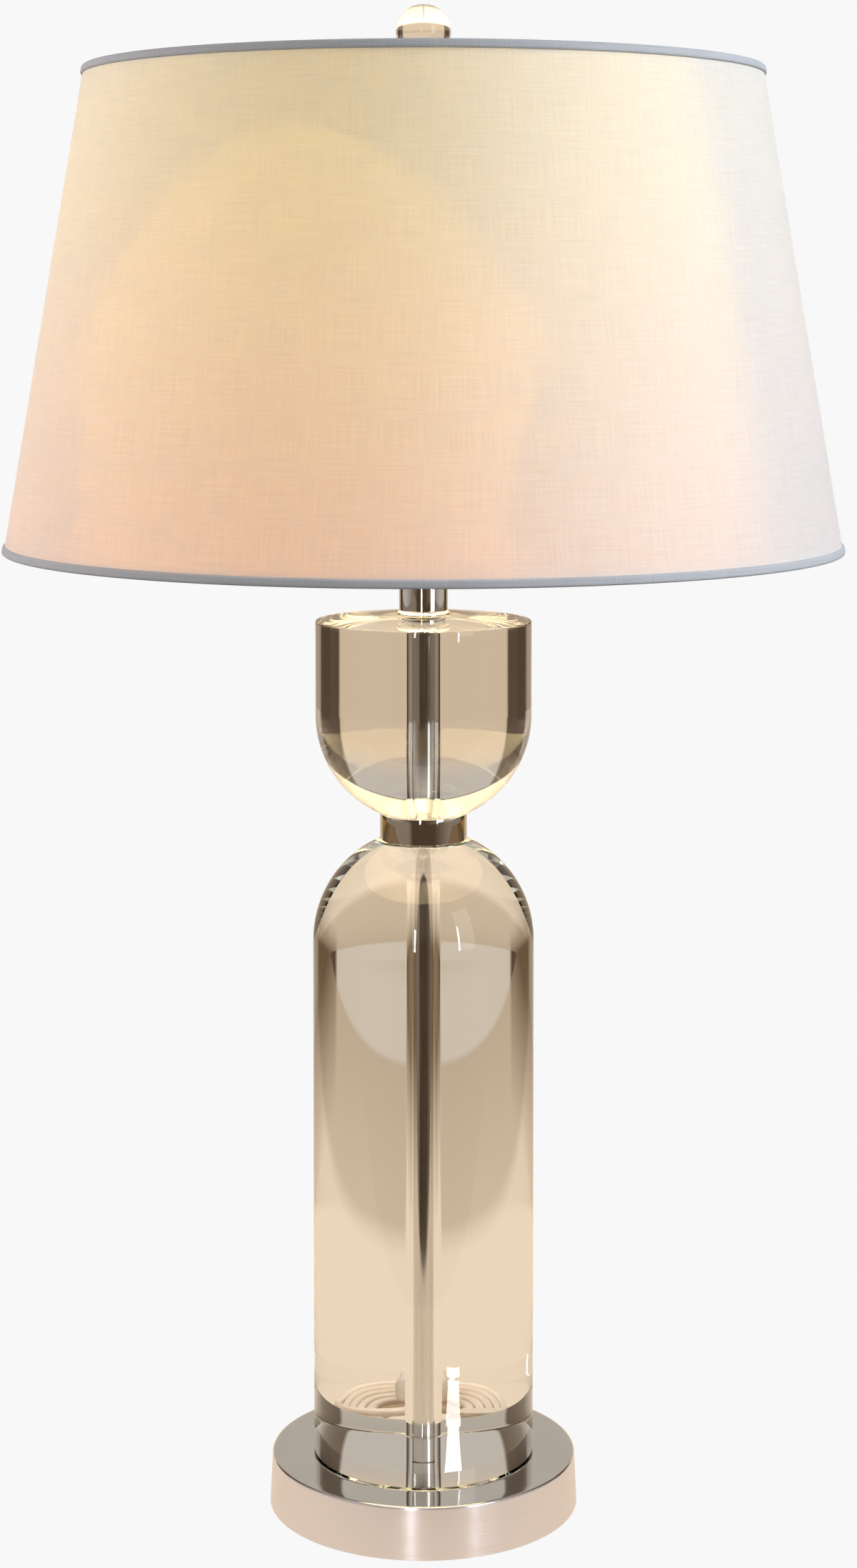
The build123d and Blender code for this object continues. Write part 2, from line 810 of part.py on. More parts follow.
def cord_exit_distance():
    """The bushing's tip, where the free cord starts, from the lamp's axis."""
    return wall_radius(outlet_height) + bushing_stand_off + bushing_out


def coil_radius(turns):
    """The coil's radius after this many turns, least where it changes layer."""
    half = coil_turns / 2
    return coil_outer_radius - coil_pitch * (half - abs(turns - half))


def coil_point(turns):
    """Centre line of the coil after this many turns: in on the lower layer, out again on the upper one."""
    radius = coil_radius(turns)
    angle = math.radians(coil_start_angle) - 2 * math.pi * turns
    share = min(max((turns - coil_turns / 2) * 2 + 0.5, 0), 1)
    climb = (1 - math.cos(math.pi * share)) / 2
    return Vector(coil_centre[0] + radius * math.cos(angle), coil_centre[1] + radius * math.sin(angle),
                  coil_low + coil_layer_rise * climb)


def coil_tangent(turns):
    """Direction of the coil's centre line after this many turns."""
    step = 1e-4
    before = coil_point(max(turns - step, 0))
    after = coil_point(min(turns + step, coil_turns))
    return (after - before).normalized()


def biarc(start, start_way, end, end_way):
    """Two tangent arcs from one point and direction to another."""
    chord = end - start
    both = start_way + end_way
    a = 2 * (start_way.dot(end_way) - 1)
    b = -2 * chord.dot(both)
    c = chord.dot(chord)
    reach = (-b - math.sqrt(b * b - 4 * a * c)) / (2 * a)
    first = start + start_way * reach
    last = end - end_way * reach
    joint = (first + last) * 0.5
    return [Edge.make_tangent_arc(start, start_way, joint), Edge.make_tangent_arc(joint, last - first, end)]


def coil_start():
    """Where the lead meets the coil, one cord diameter before its first turn."""
    return coil_point(0) - coil_tangent(0) * cord_diameter


def coil_end():
    """Where the tail leaves the coil, one cord diameter past its last turn."""
    return coil_point(coil_turns) + coil_tangent(coil_turns) * cord_diameter


def cord_coil():
    """The put-away length, wound as one tube in two layers."""
    steps = round(coil_turns * coil_steps_per_turn)
    places = [coil_turns * i / steps for i in range(steps + 1)]
    edges = [Edge.make_line(coil_start(), coil_point(0))]
    for here, there in zip(places, places[1:]):
        edges += biarc(coil_point(here), coil_tangent(here), coil_point(there), coil_tangent(there))
    edges.append(Edge.make_line(coil_point(coil_turns), coil_end()))
    path = Wire(edges)
    return tube_along(path, cord_radius), path.length


def coil_least_gap():
    """Least clear space between the coil's turns, measured on points of its centre line."""
    per_turn = 48
    count = round(coil_turns * per_turn)
    points = [coil_point(coil_turns * i / count) for i in range(count + 1)]
    apart = per_turn // 2
    gaps = [(points[i] - points[j]).length for i in range(count + 1) for j in range(i + apart, count + 1)]
    return min(gaps) - cord_diameter


def lead_route():
    """The cord's free run from the bushing to the coil."""
    turn = math.radians(outlet_turn)
    start = cord_exit_distance()
    exit_point = (-math.sin(turn) * start, math.cos(turn) * start, outlet_height)
    return [exit_point, (-41.68, 93.63, 9.0), (-41.84, 110.0, 3.7), tuple(coil_start())]


def tail_route():
    """The cord's end, off the coil and over its turns to the plug that lies on it."""
    return [tuple(coil_end()), (41.88, 108.2, 9.2), (33.73, 97.27, 13.1), (20.85, 93.08, 16.5),
            (7.97, 97.27, 18.0), (0.0, 108.2, plug_level), (0.0, 121.0, plug_level)]


def route_radii(points):
    """The largest arcs that the route's runs leave room for, one for each corner."""
    radii = []
    for before, here, after in zip(points, points[1:], points[2:]):
        first = Vector(*here) - Vector(*before)
        second = Vector(*after) - Vector(*here)
        half_turn = math.radians(first.get_angle(second)) / 2
        radii.append(0.45 * min(first.length, second.length) / math.tan(half_turn))
    return radii


def cord_run(name, points):
    """A free stretch of cord along its route, with its radii printed."""
    radii = route_radii(points)
    path = FilletPolyline(*points, radius=radii)
    print(name, "radii", [round(radius, 1) for radius in radii], "length", round(path.length, 1))
    tube = tube_along(path, cord_radius)
    print(name, "volume share", round(tube.volume / (math.pi * cord_radius ** 2 * path.length), 4))
    return tube, path.length


def tie_span():
    """The least and the greatest radius of the turns that pass under the tie."""
    first = (coil_start_angle - tie_angle) / 360 % 1
    passes = [coil_radius(first + turn) for turn in range(int(coil_turns - first) + 1)]
    return min(passes), max(passes)


def cord_tie():
    """Band round the coil's turns."""
    least, greatest = tie_span()
    least -= tie_width ** 2 / (8 * least)
    width = greatest - least + cord_diameter + 2 * tie_gap
    height = coil_layer_rise + cord_diameter + 2 * tie_gap
    level = coil_low + coil_layer_rise / 2
    band = RectangleRounded(width + 2 * tie_thick, height + 2 * tie_thick, tie_round)
    band -= RectangleRounded(width, height, tie_round - tie_thick)
    middle = Pos((least + greatest) / 2, 0, 0)
    place = Pos(coil_centre[0], coil_centre[1], level) * Rot(0, 0, tie_angle) * middle
    return place * extrude(Plane.XZ * band, tie_width / 2, both=True)


def plug_frame():
    """The plug's own frame: its rear at the cord's end, its blades along +Y."""
    return Pos(*tail_route()[-1])


def plug_body():
    """Moulded plug body with a tapered strain relief behind it and slots for the blades."""
    length = plug_length - plug_taper_length
    front = RectangleRounded(plug_width, plug_thick, plug_round)
    body = extrude(Plane.XZ.offset(-plug_taper_length) * front, -length)
    rear = Plane.XZ * Circle(plug_taper_radius)
    taper = loft([rear, Plane.XZ.offset(-plug_taper_length) * front])
    plug = body + taper
    return plug_frame() * (plug - blade_pair(plug_length - blade_root()))


def blade_root():
    """How deep the blades sit in the plug's body."""
    return (plug_length - plug_taper_length) / 2


def blade_pair(start):
    """The two flat blades, from this distance past the plug's rear."""
    length = blade_root() + blade_length
    blades = Part()
    for side in (-1, 1):
        profile = RectangleRounded(length, blade_width, blade_tip)
        flat = extrude(profile, blade_thick / 2, both=True)
        blades += Pos(side * blade_spacing / 2, start + length / 2, 0) * Rot(0, 90, 0) * Rot(0, 0, 90) * flat
    return blades


def plug_blades():
    """The plug's blades."""
    return plug_frame() * blade_pair(plug_length - blade_root())


coil, coil_length = cord_coil()
lead, lead_length = cord_run("cord_lead", lead_route())
tail, tail_length = cord_run("cord_tail", tail_route())
print("coil length", round(coil_length, 1), "least gap", round(coil_least_gap(), 2))
print("cord length outside the lamp", round(lead_length + coil_length + tail_length, 1))

nodes = {
    "base_shell": base_shell(),
    "base_weight": base_weight(),
    "felt_pad": felt_pad(),
    "base_cover": base_cover(),
    "base_lock_washer": base_lock_washer(),
    "base_nut": base_nut(),
    "lamp_pipe": lamp_pipe(),
    "foot_gasket": foot_gasket(),
    "lower_crystal": lower_crystal(),
    "collar": collar(),
    "collar_gaskets": collar_gaskets(),
    "upper_crystal": upper_crystal(),
    "neck_washer": neck_washer(),
    "neck_ring": neck_ring(),
    "neck_tube": neck_tube(),
    "harp_saddle": harp_saddle(),
    "harp_bow": harp_bow(),
    "harp_stud": harp_stud(),
    "harp_sleeve_left": harp_sleeve(-1),
    "harp_sleeve_right": harp_sleeve(1),
    "socket_cap": socket_cap(),
    "socket_shell": socket_shell(),
    "socket_liner": socket_liner(),
    "socket_core": socket_core(),
    "terminal_screws": terminal_screws(),
    "centre_contact": centre_contact(),
    "screw_shell": screw_shell(),
    "switch_stem": switch_stem(),
    "switch_knob": switch_knob(),
    "bulb_tip": bulb_tip(),
    "bulb_insulator": bulb_insulator(),
    "bulb_cap": bulb_cap(),
    "bulb_globe": bulb_globe(),
    "shade_skin": shade_skin_shell(),
    "shade_top_hem": shade_top_hem(),
    "shade_bottom_hem": shade_hem(low_ring_level),
    "shade_bottom_ring": shade_bottom_ring(),
    "shade_frame": shade_frame(),
    "finial_base": finial_base(),
    "finial_insert": finial_insert(),
    "finial_ball": finial_ball(),
    "cord_bushing": cord_bushing(),
    "inner_cord": inner_cord(),
    "cord_lead": lead,
    "cord_coil": coil,
    "cord_tail": tail,
    "cord_tie": cord_tie(),
    "plug_body": plug_body(),
    "plug_blades": plug_blades(),
}

os.makedirs("parts", exist_ok=True)
for name, shape in nodes.items():
    export_step(shape, os.path.join("parts", name + ".step"))
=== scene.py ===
import json
import math

import bmesh
import bpy
from bpy.props import FloatProperty, FloatVectorProperty, IntProperty, PointerProperty
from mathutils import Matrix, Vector


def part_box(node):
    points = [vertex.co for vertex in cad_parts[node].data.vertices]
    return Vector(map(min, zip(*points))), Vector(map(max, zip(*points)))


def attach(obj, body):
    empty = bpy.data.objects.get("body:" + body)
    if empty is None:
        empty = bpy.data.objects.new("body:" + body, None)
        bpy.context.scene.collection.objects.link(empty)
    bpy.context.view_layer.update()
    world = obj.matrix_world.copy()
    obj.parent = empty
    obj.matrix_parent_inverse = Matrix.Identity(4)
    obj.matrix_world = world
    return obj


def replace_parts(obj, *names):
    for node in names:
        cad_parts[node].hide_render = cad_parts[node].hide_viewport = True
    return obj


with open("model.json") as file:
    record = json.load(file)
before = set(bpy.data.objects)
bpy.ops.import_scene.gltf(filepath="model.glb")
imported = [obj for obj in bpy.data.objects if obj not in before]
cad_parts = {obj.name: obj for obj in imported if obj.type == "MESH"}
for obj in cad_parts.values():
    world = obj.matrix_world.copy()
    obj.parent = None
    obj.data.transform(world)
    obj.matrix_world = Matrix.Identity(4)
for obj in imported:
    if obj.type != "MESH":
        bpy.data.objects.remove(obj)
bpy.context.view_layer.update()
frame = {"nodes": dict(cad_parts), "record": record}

bl_info = {
    "name": "Table lamp with two crystal columns",
    "version": (1, 0, 0),
    "blender": (4, 5, 0),
    "location": "View3D > Sidebar > Table lamp",
    "description": "Dresses the packed table lamp: crystal, metalwork, shade, bulb, cord and studio",
    "category": "Object",
}

slot_of_node = {part["node"]: part["material_slot"] for part in frame["record"]["subparts"]}


class LampCrystalSettings(bpy.types.PropertyGroup):
    """Clear crystal of the columns and the finial's ball."""

    ior: FloatProperty(name="Index of refraction", description="How strongly the crystal bends light",
                       default=1.52, min=1.0, max=2.0)
    tint: FloatVectorProperty(name="Tint", description="Colour of light that has passed through the crystal",
                              subtype="COLOR", default=(0.93, 0.965, 0.915))
    tint_density: FloatProperty(name="Tint density", description="How fast the tint builds up, per metre",
                                default=2.2, min=0.0)
    edge_round: FloatProperty(name="Edge round", description="Rounding of the columns' ground edges",
                              unit="LENGTH", default=0.0008)
    bore_radius: FloatProperty(name="Bore radius", description="Radius of the hole for the pipe",
                               unit="LENGTH", default=0.00575)
    lower_seat: FloatProperty(name="Lower seat radius", description="Flat on top of the lower column",
                              unit="LENGTH", default=0.0226)
    upper_seat: FloatProperty(name="Upper seat radius", description="Flat under the upper column",
                              unit="LENGTH", default=0.0215)


class LampMetalSettings(bpy.types.PropertyGroup):
    """Polished and satin plating of the base, collar and neck."""

    polish_colour: FloatVectorProperty(name="Polished colour", description="Colour of the mirror plating",
                                       subtype="COLOR", default=(0.86, 0.845, 0.82))
    satin_colour: FloatVectorProperty(name="Satin colour", description="Colour of the base's side",
                                      subtype="COLOR", default=(0.89, 0.885, 0.98))
    satin_roughness: FloatProperty(name="Satin roughness", description="Softness of the base's side",
                                   subtype="FACTOR", default=0.24, min=0.0, max=1.0)
    base_edge: FloatProperty(name="Base edge round", description="Rounding of the base's top edge",
                             unit="LENGTH", default=0.0014)
    base_wall: FloatProperty(name="Base wall", description="Thickness of the spun base shell",
                             unit="LENGTH", default=0.0016)
    base_top_radius: FloatProperty(name="Base top radius", description="Radius at the base's top edge",
                                   unit="LENGTH", default=0.0742)
    collar_edge: FloatProperty(name="Collar edge", description="Rounding of the collar's edges",
                               unit="LENGTH", default=0.0004)


class LampShadeSettings(bpy.types.PropertyGroup):
    """Stiff woven shade with rolled hems."""

    cloth_colour: FloatVectorProperty(name="Cloth colour", description="Colour of the woven outer cloth",
                                      subtype="COLOR", default=(0.86, 0.85, 0.835))
    slub_colour: FloatVectorProperty(name="Slub colour", description="Colour of the thicker threads",
                                     subtype="COLOR", default=(0.79, 0.775, 0.755))
    glow_colour: FloatVectorProperty(name="Glow colour", description="Colour of light through the cloth",
                                     subtype="COLOR", default=(0.92, 0.74, 0.13))
    low_glow_colour: FloatVectorProperty(name="Low glow colour",
                                         description="Colour of light through the hem end",
                                         subtype="COLOR", default=(0.92, 0.49, 0.15))
    glow_share: FloatProperty(name="Glow share", description="Share of light that the cloth lets through",
                              subtype="FACTOR", default=0.1, min=0.0, max=1.0)
    glow_rise: FloatProperty(name="Glow rise",
                             description="Height over which the glow turns from low to high",
                             unit="LENGTH", default=0.19)
    lining_share: FloatProperty(name="Lining share",
                                description="Share of light that the lining lets through",
                                subtype="FACTOR", default=0.25, min=0.0, max=1.0)
    lining_colour: FloatVectorProperty(name="Lining colour", description="Colour of the styrene lining",
                                       subtype="COLOR", default=(0.90, 0.86, 0.78))
    # Painted shade: the hems are of the same white cloth as the shade, and this grey paints their darker
    # look.
    shaded_hem_colour: FloatVectorProperty(name="Hem colour", description="Colour of the rolled hems",
                                    subtype="COLOR", default=(0.60, 0.60, 0.615))
    thread_pitch: FloatProperty(name="Thread pitch", description="Distance between neighbouring threads",
                                unit="LENGTH", default=0.0007)
    hem_depth: FloatProperty(name="Hem depth", description="Depth of the rolled hems",
                             unit="LENGTH", default=0.0046)
    hem_fold: FloatProperty(name="Hem fold", description="How far a hem's corners roll over",
                            unit="LENGTH", default=0.0014)
    skin_thickness: FloatProperty(name="Skin thickness", description="Cloth and lining together",
                                  unit="LENGTH", default=0.001)
    seam_width: FloatProperty(name="Seam width", description="Width of the lapped seam at the rear",
                              unit="LENGTH", default=0.008)
    seam_share: FloatProperty(name="Seam share",
                              description="Share of light that the lapped seam lets through",
                              subtype="FACTOR", default=0.45, min=0.0, max=1.0)


class LampBulbSettings(bpy.types.PropertyGroup):
    """Frosted bulb and its light."""

    glow: FloatVectorProperty(name="Glow", description="Colour of the lit bulb",
                              subtype="COLOR", default=(1.0, 0.86, 0.64))
    surface_strength: FloatProperty(name="Surface strength", description="Brightness of the frosted glass",
                                    default=220.0, min=0.0)
    light_power: FloatProperty(name="Light power", description="Power of the light by the bulb",
                               unit="POWER", default=13.0, min=0.0)
    light_colour: FloatVectorProperty(name="Light colour", description="Colour of the light by the bulb",
                                      subtype="COLOR", default=(1.0, 0.82, 0.50))
    light_place: FloatVectorProperty(name="Light place", description="Where the light by the bulb sits",
                                     subtype="TRANSLATION", default=(-0.017, -0.047, 0.575))
    light_size: FloatVectorProperty(name="Light size",
                                    description="Width and height of the light by the bulb",
                                    size=2, unit="LENGTH", default=(0.03, 0.24))


class LampCordSettings(bpy.types.PropertyGroup):
    """Clear gold twin flex."""

    width: FloatProperty(name="Width", description="Width across both cores",
                         unit="LENGTH", default=0.005)
    thickness: FloatProperty(name="Thickness", description="Thickness of one core with its cover",
                             unit="LENGTH", default=0.0032)
    length: FloatProperty(name="Length", description="Length outside the lamp",
                          unit="LENGTH", default=1.826)
    colour: FloatVectorProperty(name="Colour", description="Colour of the clear cover over copper",
                                subtype="COLOR", default=(0.98, 0.85, 0.69))
    points_per_turn: IntProperty(name="Points per turn",
                                 description="Control points in each turn of the coil",
                                 default=24, min=12)


class LampStageSettings(bpy.types.PropertyGroup):
    """Camera, floor and lights."""

    camera_place: FloatVectorProperty(name="Camera place", description="Where the camera stands",
                                      subtype="TRANSLATION", default=(0.0, -1.4142, 0.588))
    camera_tilt: FloatProperty(name="Camera tilt", description="Angle of the camera from straight down",
                               subtype="ANGLE", default=math.radians(86.75))
    camera_lens: FloatProperty(name="Lens", description="Focal length", subtype="DISTANCE_CAMERA",
                               default=67.17)
    camera_shift: FloatVectorProperty(name="Lens shift", description="Sideways and upward shift", size=2,
                                      default=(0.0032, -0.20))
    paper_white: FloatProperty(name="Paper white", description="Brightness of the plain background",
                               subtype="FACTOR", default=0.9387, min=0.0, max=1.0)
    soft_glow: FloatProperty(name="Soft glow", description="Brightness of the surroundings on dull surfaces",
                             subtype="FACTOR", default=0.06, min=0.0, max=1.0)
    softbox_power: FloatProperty(name="Softbox power", description="Power of the tall light on the right",
                                 unit="POWER", default=2.8, min=0.0)
    back_power: FloatProperty(name="Back power", description="Power of the soft light behind the lamp",
                              unit="POWER", default=16.0, min=0.0)
    low_power: FloatProperty(name="Low power",
                             description="Power of the light over the table behind the lamp",
                             unit="POWER", default=1.3, min=0.0)
    key_power: FloatProperty(name="Key power", description="Power of the broad light on the right",
                             unit="POWER", default=30.5, min=0.0)
    strip_power: FloatProperty(name="Strip power", description="Power of the narrow light by the camera",
                               unit="POWER", default=4.4, min=0.0)
    fill_power: FloatProperty(name="Fill power", description="Power of the soft light on the left",
                              unit="POWER", default=19.5, min=0.0)


even = (1.0, 1.0, 1.0)

# Dark and light colour, roughness, grains a metre, depth of the grain, share of metal, stretch of the grain
plain_finishes = {
    # Drawn nickel-plated pipe with marks along its length
    "pipe_metal": ((0.60, 0.585, 0.56), (0.78, 0.765, 0.74), (0.05, 0.14),
                   1200.0, 0.000003, 1.0, (1.0, 1.0, 0.012)),
    # Rough cast iron
    "iron": ((0.035, 0.033, 0.031), (0.11, 0.10, 0.095), (0.55, 0.8), 900.0, 0.00015, 0.7, even),
    # Zinc plate with its faint blue and yellow bloom
    "zinc_steel": ((0.52, 0.53, 0.56), (0.72, 0.70, 0.62), (0.22, 0.4), 140.0, 0.00001, 1.0, even),
    # Pressed brown fibreboard
    "board": ((0.16, 0.095, 0.05), (0.31, 0.21, 0.12), (0.7, 0.9), 700.0, 0.00006, 0.0, (1.0, 0.25, 1.0)),
    # Nickel-plated drawn wire
    "harp_metal": ((0.58, 0.56, 0.53), (0.74, 0.72, 0.68), (0.12, 0.24),
                   400.0, 0.000008, 1.0, (1.0, 1.0, 0.15)),
    # Nickel-plated brass shell, spun and lightly rubbed
    "socket_metal": ((0.60, 0.57, 0.50), (0.75, 0.72, 0.66), (0.14, 0.3),
                     600.0, 0.000006, 1.0, (0.06, 0.06, 1.0)),
    # Grey pressed paper sleeve
    "paper_liner": ((0.36, 0.34, 0.30), (0.52, 0.50, 0.46), (0.8, 0.95), 1500.0, 0.00004, 0.0, even),
    # Dark brown moulding with a mottled gloss
    "phenolic": ((0.018, 0.012, 0.009), (0.06, 0.038, 0.024), (0.25, 0.45), 260.0, 0.00001, 0.0, even),
    # Bright brass with a little tarnish
    "brass": ((0.50, 0.33, 0.12), (0.80, 0.58, 0.25), (0.16, 0.38), 330.0, 0.000008, 1.0, even),
    # Black moulded knob with a fine spark texture
    "knob_plastic": ((0.010, 0.010, 0.010), (0.035, 0.034, 0.033), (0.3, 0.48), 3200.0, 0.00004, 0.0, even),
    # Pressed aluminium cap
    "bulb_cap_metal": ((0.66, 0.66, 0.65), (0.84, 0.84, 0.83), (0.2, 0.38), 420.0, 0.00001, 1.0, even),
    # Black glass button under the cap
    "bulb_insulator": ((0.008, 0.008, 0.010), (0.03, 0.03, 0.035), (0.1, 0.22), 200.0, 0.00001, 0.0, even),
    # Dull tinned contact
    "solder": ((0.40, 0.40, 0.41), (0.62, 0.62, 0.63), (0.35, 0.55), 800.0, 0.00005, 1.0, even),
    # Wire with white enamel
    "shade_wire": ((0.70, 0.69, 0.66), (0.82, 0.81, 0.79), (0.3, 0.45), 500.0, 0.00002, 0.0, even),
}


def add_node(tree, kind, settings=None, sockets=None):
    """A shader node with its own settings and its inputs' links and values."""
    node = tree.nodes.new(kind)
    for name, value in (settings or {}).items():
        setattr(node, name, value)
    feed(tree, node, sockets or {})
    return node


def feed(tree, node, sockets):
    """Links a node's inputs to other nodes' outputs, or sets their values."""
    for name, value in sockets.items():
        if isinstance(value, bpy.types.NodeSocket):
            tree.links.new(value, node.inputs[name])
        else:
            node.inputs[name].default_value = value


def new_finish(name):
    """A material, its node tree and its main shader."""
    material = bpy.data.materials.new(name)
    material.use_nodes = True
    return material, material.node_tree, material.node_tree.nodes["Principled BSDF"]


def grain(tree, scale, stretch=even, detail=4.0, source="Object"):
    """Noise over the piece, at so many grains a metre, stretched along its axes."""
    place = add_node(tree, "ShaderNodeTexCoord")
    mapping = add_node(tree, "ShaderNodeMapping", sockets={"Scale": stretch, "Vector": place.outputs[source]})
    noise = add_node(tree, "ShaderNodeTexNoise", sockets={
        "Scale": scale, "Detail": detail, "Vector": mapping.outputs["Vector"]})
    return noise.outputs["Fac"]


def between(tree, value, low, high, start=0.3, end=0.7):
    """A number from low to high as value goes from start to end."""
    span = add_node(tree, "ShaderNodeMapRange", sockets={
        "Value": value, "From Min": start, "From Max": end, "To Min": low, "To Max": high})
    return span.outputs["Result"]


def colours(tree, value, stops):
    """A colour from stops of (place, colour) as value goes from 0 to 1."""
    node = add_node(tree, "ShaderNodeValToRGB", sockets={"Fac": value})
    elements = node.color_ramp.elements
    while len(elements) < len(stops):
        elements.new(1.0)
    for element, (place, colour) in zip(elements, stops):
        element.position = place
        element.color = (*colour, 1.0)
    return node.outputs["Color"]


def worked(tree, operation, *values):
    """The result of a sum or other operation on numbers."""
    node = add_node(tree, "ShaderNodeMath", {"operation": operation}, dict(enumerate(values)))
    return node.outputs["Value"]


def relief(tree, height, distance, strength=1.0):
    """A surface normal from a height map, so many metres deep."""
    node = add_node(tree, "ShaderNodeBump", sockets={
        "Strength": strength, "Distance": distance, "Height": height})
    return node.outputs["Normal"]


def plain_finish(name, dark, light, roughness, scale, depth, metallic=0.0, stretch=even):
    """A finish whose colour, gloss and surface all follow one grain."""
    material, tree, shader = new_finish(name)
    noise = grain(tree, scale, stretch)
    feed(tree, shader, {
        "Metallic": metallic, "Base Color": colours(tree, noise, [(0.3, dark), (0.7, light)]),
        "Roughness": between(tree, noise, *roughness), "Normal": relief(tree, noise, depth)})
    return material, tree, shader


def polished_metal():
    """Mirror plating with faint wiping marks."""
    light = bpy.context.scene.lamp_metal.polish_colour
    dark = [0.93 * share for share in light]
    return plain_finish("polished_metal", dark, light, (0.018, 0.05), 45.0, 0.000002, metallic=1.0)[0]


def satin_metal():
    """Spun plating: fine lines run round the base, so lights stretch up and down its side."""
    metal = bpy.context.scene.lamp_metal
    light = metal.satin_colour
    dark = [0.94 * share for share in light]
    roughness = (metal.satin_roughness - 0.03, metal.satin_roughness + 0.03)
    material, tree, shader = plain_finish("satin_metal", dark, light, roughness, 900.0, 0.000004,
                                          metallic=1.0, stretch=(0.03, 0.03, 1.0))
    tangent = add_node(tree, "ShaderNodeTangent", {"direction_type": "RADIAL", "axis": "Z"})
    feed(tree, shader, {
        "Anisotropic": 0.9, "Anisotropic Rotation": 0.25, "Tangent": tangent.outputs["Tangent"]})
    return material


def crystal():
    """Clear crystal, with a slow ripple from polishing and a faint tint in its depth."""
    settings = bpy.context.scene.lamp_crystal
    material, tree, shader = new_finish("crystal")
    polish = grain(tree, 22.0, detail=1.0)
    feed(tree, shader, {
        "Base Color": (1.0, 1.0, 1.0, 1.0), "Transmission Weight": 1.0, "IOR": settings.ior,
        "Roughness": between(tree, polish, 0.0, 0.006), "Normal": relief(tree, polish, 0.00003, 0.4)})
    depth = add_node(tree, "ShaderNodeVolumeAbsorption", sockets={
        "Color": (*settings.tint, 1.0), "Density": settings.tint_density})
    tree.links.new(depth.outputs["Volume"], tree.nodes["Material Output"].inputs["Volume"])
    return material


def clear_gasket():
    """Soft clear washer, slightly cloudy."""
    material, tree, shader = plain_finish("clear_gasket", (0.92, 0.82, 0.48), (0.98, 0.90, 0.62),
                                          (0.18, 0.30), 300.0, 0.00001)
    shader.inputs["Transmission Weight"].default_value = 0.9
    shader.inputs["IOR"].default_value = 1.45
    return material


def felt():
    """Dark felt with a short nap."""
    material, tree, shader = plain_finish("felt", (0.012, 0.012, 0.014), (0.05, 0.05, 0.055), (0.9, 1.0),
                                          2600.0, 0.0003)
    shader.inputs["Sheen Weight"].default_value = 0.5
    return material


def bulb_glass():
    """Frosted glass, lit from inside."""
    bulb = bpy.context.scene.lamp_bulb
    material, tree, shader = plain_finish("bulb_glass", (0.86, 0.84, 0.80), (0.94, 0.93, 0.90), (0.35, 0.5),
                                          1500.0, 0.00001)
    shader.inputs["Emission Color"].default_value = (*bulb.glow, 1.0)
    shader.inputs["Emission Strength"].default_value = bulb.surface_strength
    return material


def gold_plastic(name, dark, light, roughness, scale):
    """Clear gold plastic, cloudy in its depth."""
    material, tree, shader = plain_finish(name, dark, light, roughness, scale, 0.00002)
    shader.inputs["Transmission Weight"].default_value = 0.62
    shader.inputs["IOR"].default_value = 1.45
    return material


def cord_plastic():
    """Clear gold cover of the twin flex."""
    light = bpy.context.scene.lamp_cord.colour
    return gold_plastic("cord_plastic", [0.95 * share for share in light], light, (0.45, 0.6), 900.0)


def bushing_plastic():
    """Smoky clear strain relief."""
    return gold_plastic("bushing_plastic", (0.70, 0.57, 0.36), (0.82, 0.68, 0.45), (0.3, 0.45), 600.0)


def tie_plastic():
    """Clear coated twist tie."""
    return gold_plastic("tie_plastic", (0.88, 0.76, 0.58), (0.95, 0.84, 0.68), (0.4, 0.55), 900.0)


def plug_plastic():
    """Moulded plug in the cord's gold."""
    return gold_plastic("plug_plastic", (0.93, 0.81, 0.66), (0.98, 0.85, 0.69), (0.4, 0.55), 1400.0)


def weave(tree, pitch):
    """Height of a plain weave: threads both ways, some of them thicker, by the cloth's own coordinates."""
    across = grain(tree, 1.0 / pitch, (1.0, 0.03, 1.0), 2.0, "UV")
    along = grain(tree, 1.0 / pitch, (0.025, 1.0, 1.0), 2.0, "UV")
    return worked(tree, "MULTIPLY", worked(tree, "ADD", across, along), 0.5)


def let_through(tree, shader, colour, share):
    """Lets a share of the light on one side of the cloth out at the other."""
    through = add_node(tree, "ShaderNodeBsdfTranslucent", sockets={"Color": colour})
    mix = add_node(tree, "ShaderNodeMixShader", sockets={
        "Fac": share, 1: shader.outputs["BSDF"], 2: through.outputs["BSDF"]})
    feed(tree, tree.nodes["Material Output"], {"Surface": mix.outputs["Shader"]})


def woven_finish(name, thread, slub, pitch):
    """Woven cloth with thicker threads here and there."""
    material, tree, shader = new_finish(name)
    height = weave(tree, pitch)
    feed(tree, shader, {
        "Base Color": colours(tree, height, [(0.36, slub), (0.62, thread)]),
        "Roughness": between(tree, height, 0.95, 0.82), "Normal": relief(tree, height, pitch * 0.25, 0.55)})
    return material, tree, shader


def shade_fabric():
    """Outer cloth of the shade."""
    shade = bpy.context.scene.lamp_shade
    material, tree, shader = woven_finish("shade_fabric", shade.cloth_colour, shade.slub_colour,
                                          shade.thread_pitch)
    place = add_node(tree, "ShaderNodeTexCoord")
    sheet = add_node(tree, "ShaderNodeSeparateXYZ", sockets={"Vector": place.outputs["UV"]})
    rise = between(tree, sheet.outputs["Y"], 0.0, 1.0, 0.0, shade.glow_rise)
    glow = colours(tree, rise, [(0.0, shade.low_glow_colour), (1.0, shade.glow_colour)])
    let_through(tree, shader, glow, shade.glow_share)
    return material


def seam_cloth():
    """Lapped edge of the cloth, lit by the glowing cloth under it."""
    shade = bpy.context.scene.lamp_shade
    material, tree, shader = woven_finish("seam_cloth", shade.cloth_colour, shade.slub_colour,
                                          shade.thread_pitch)
    let_through(tree, shader, shader.inputs["Base Color"].links[0].from_socket, shade.seam_share)
    return material


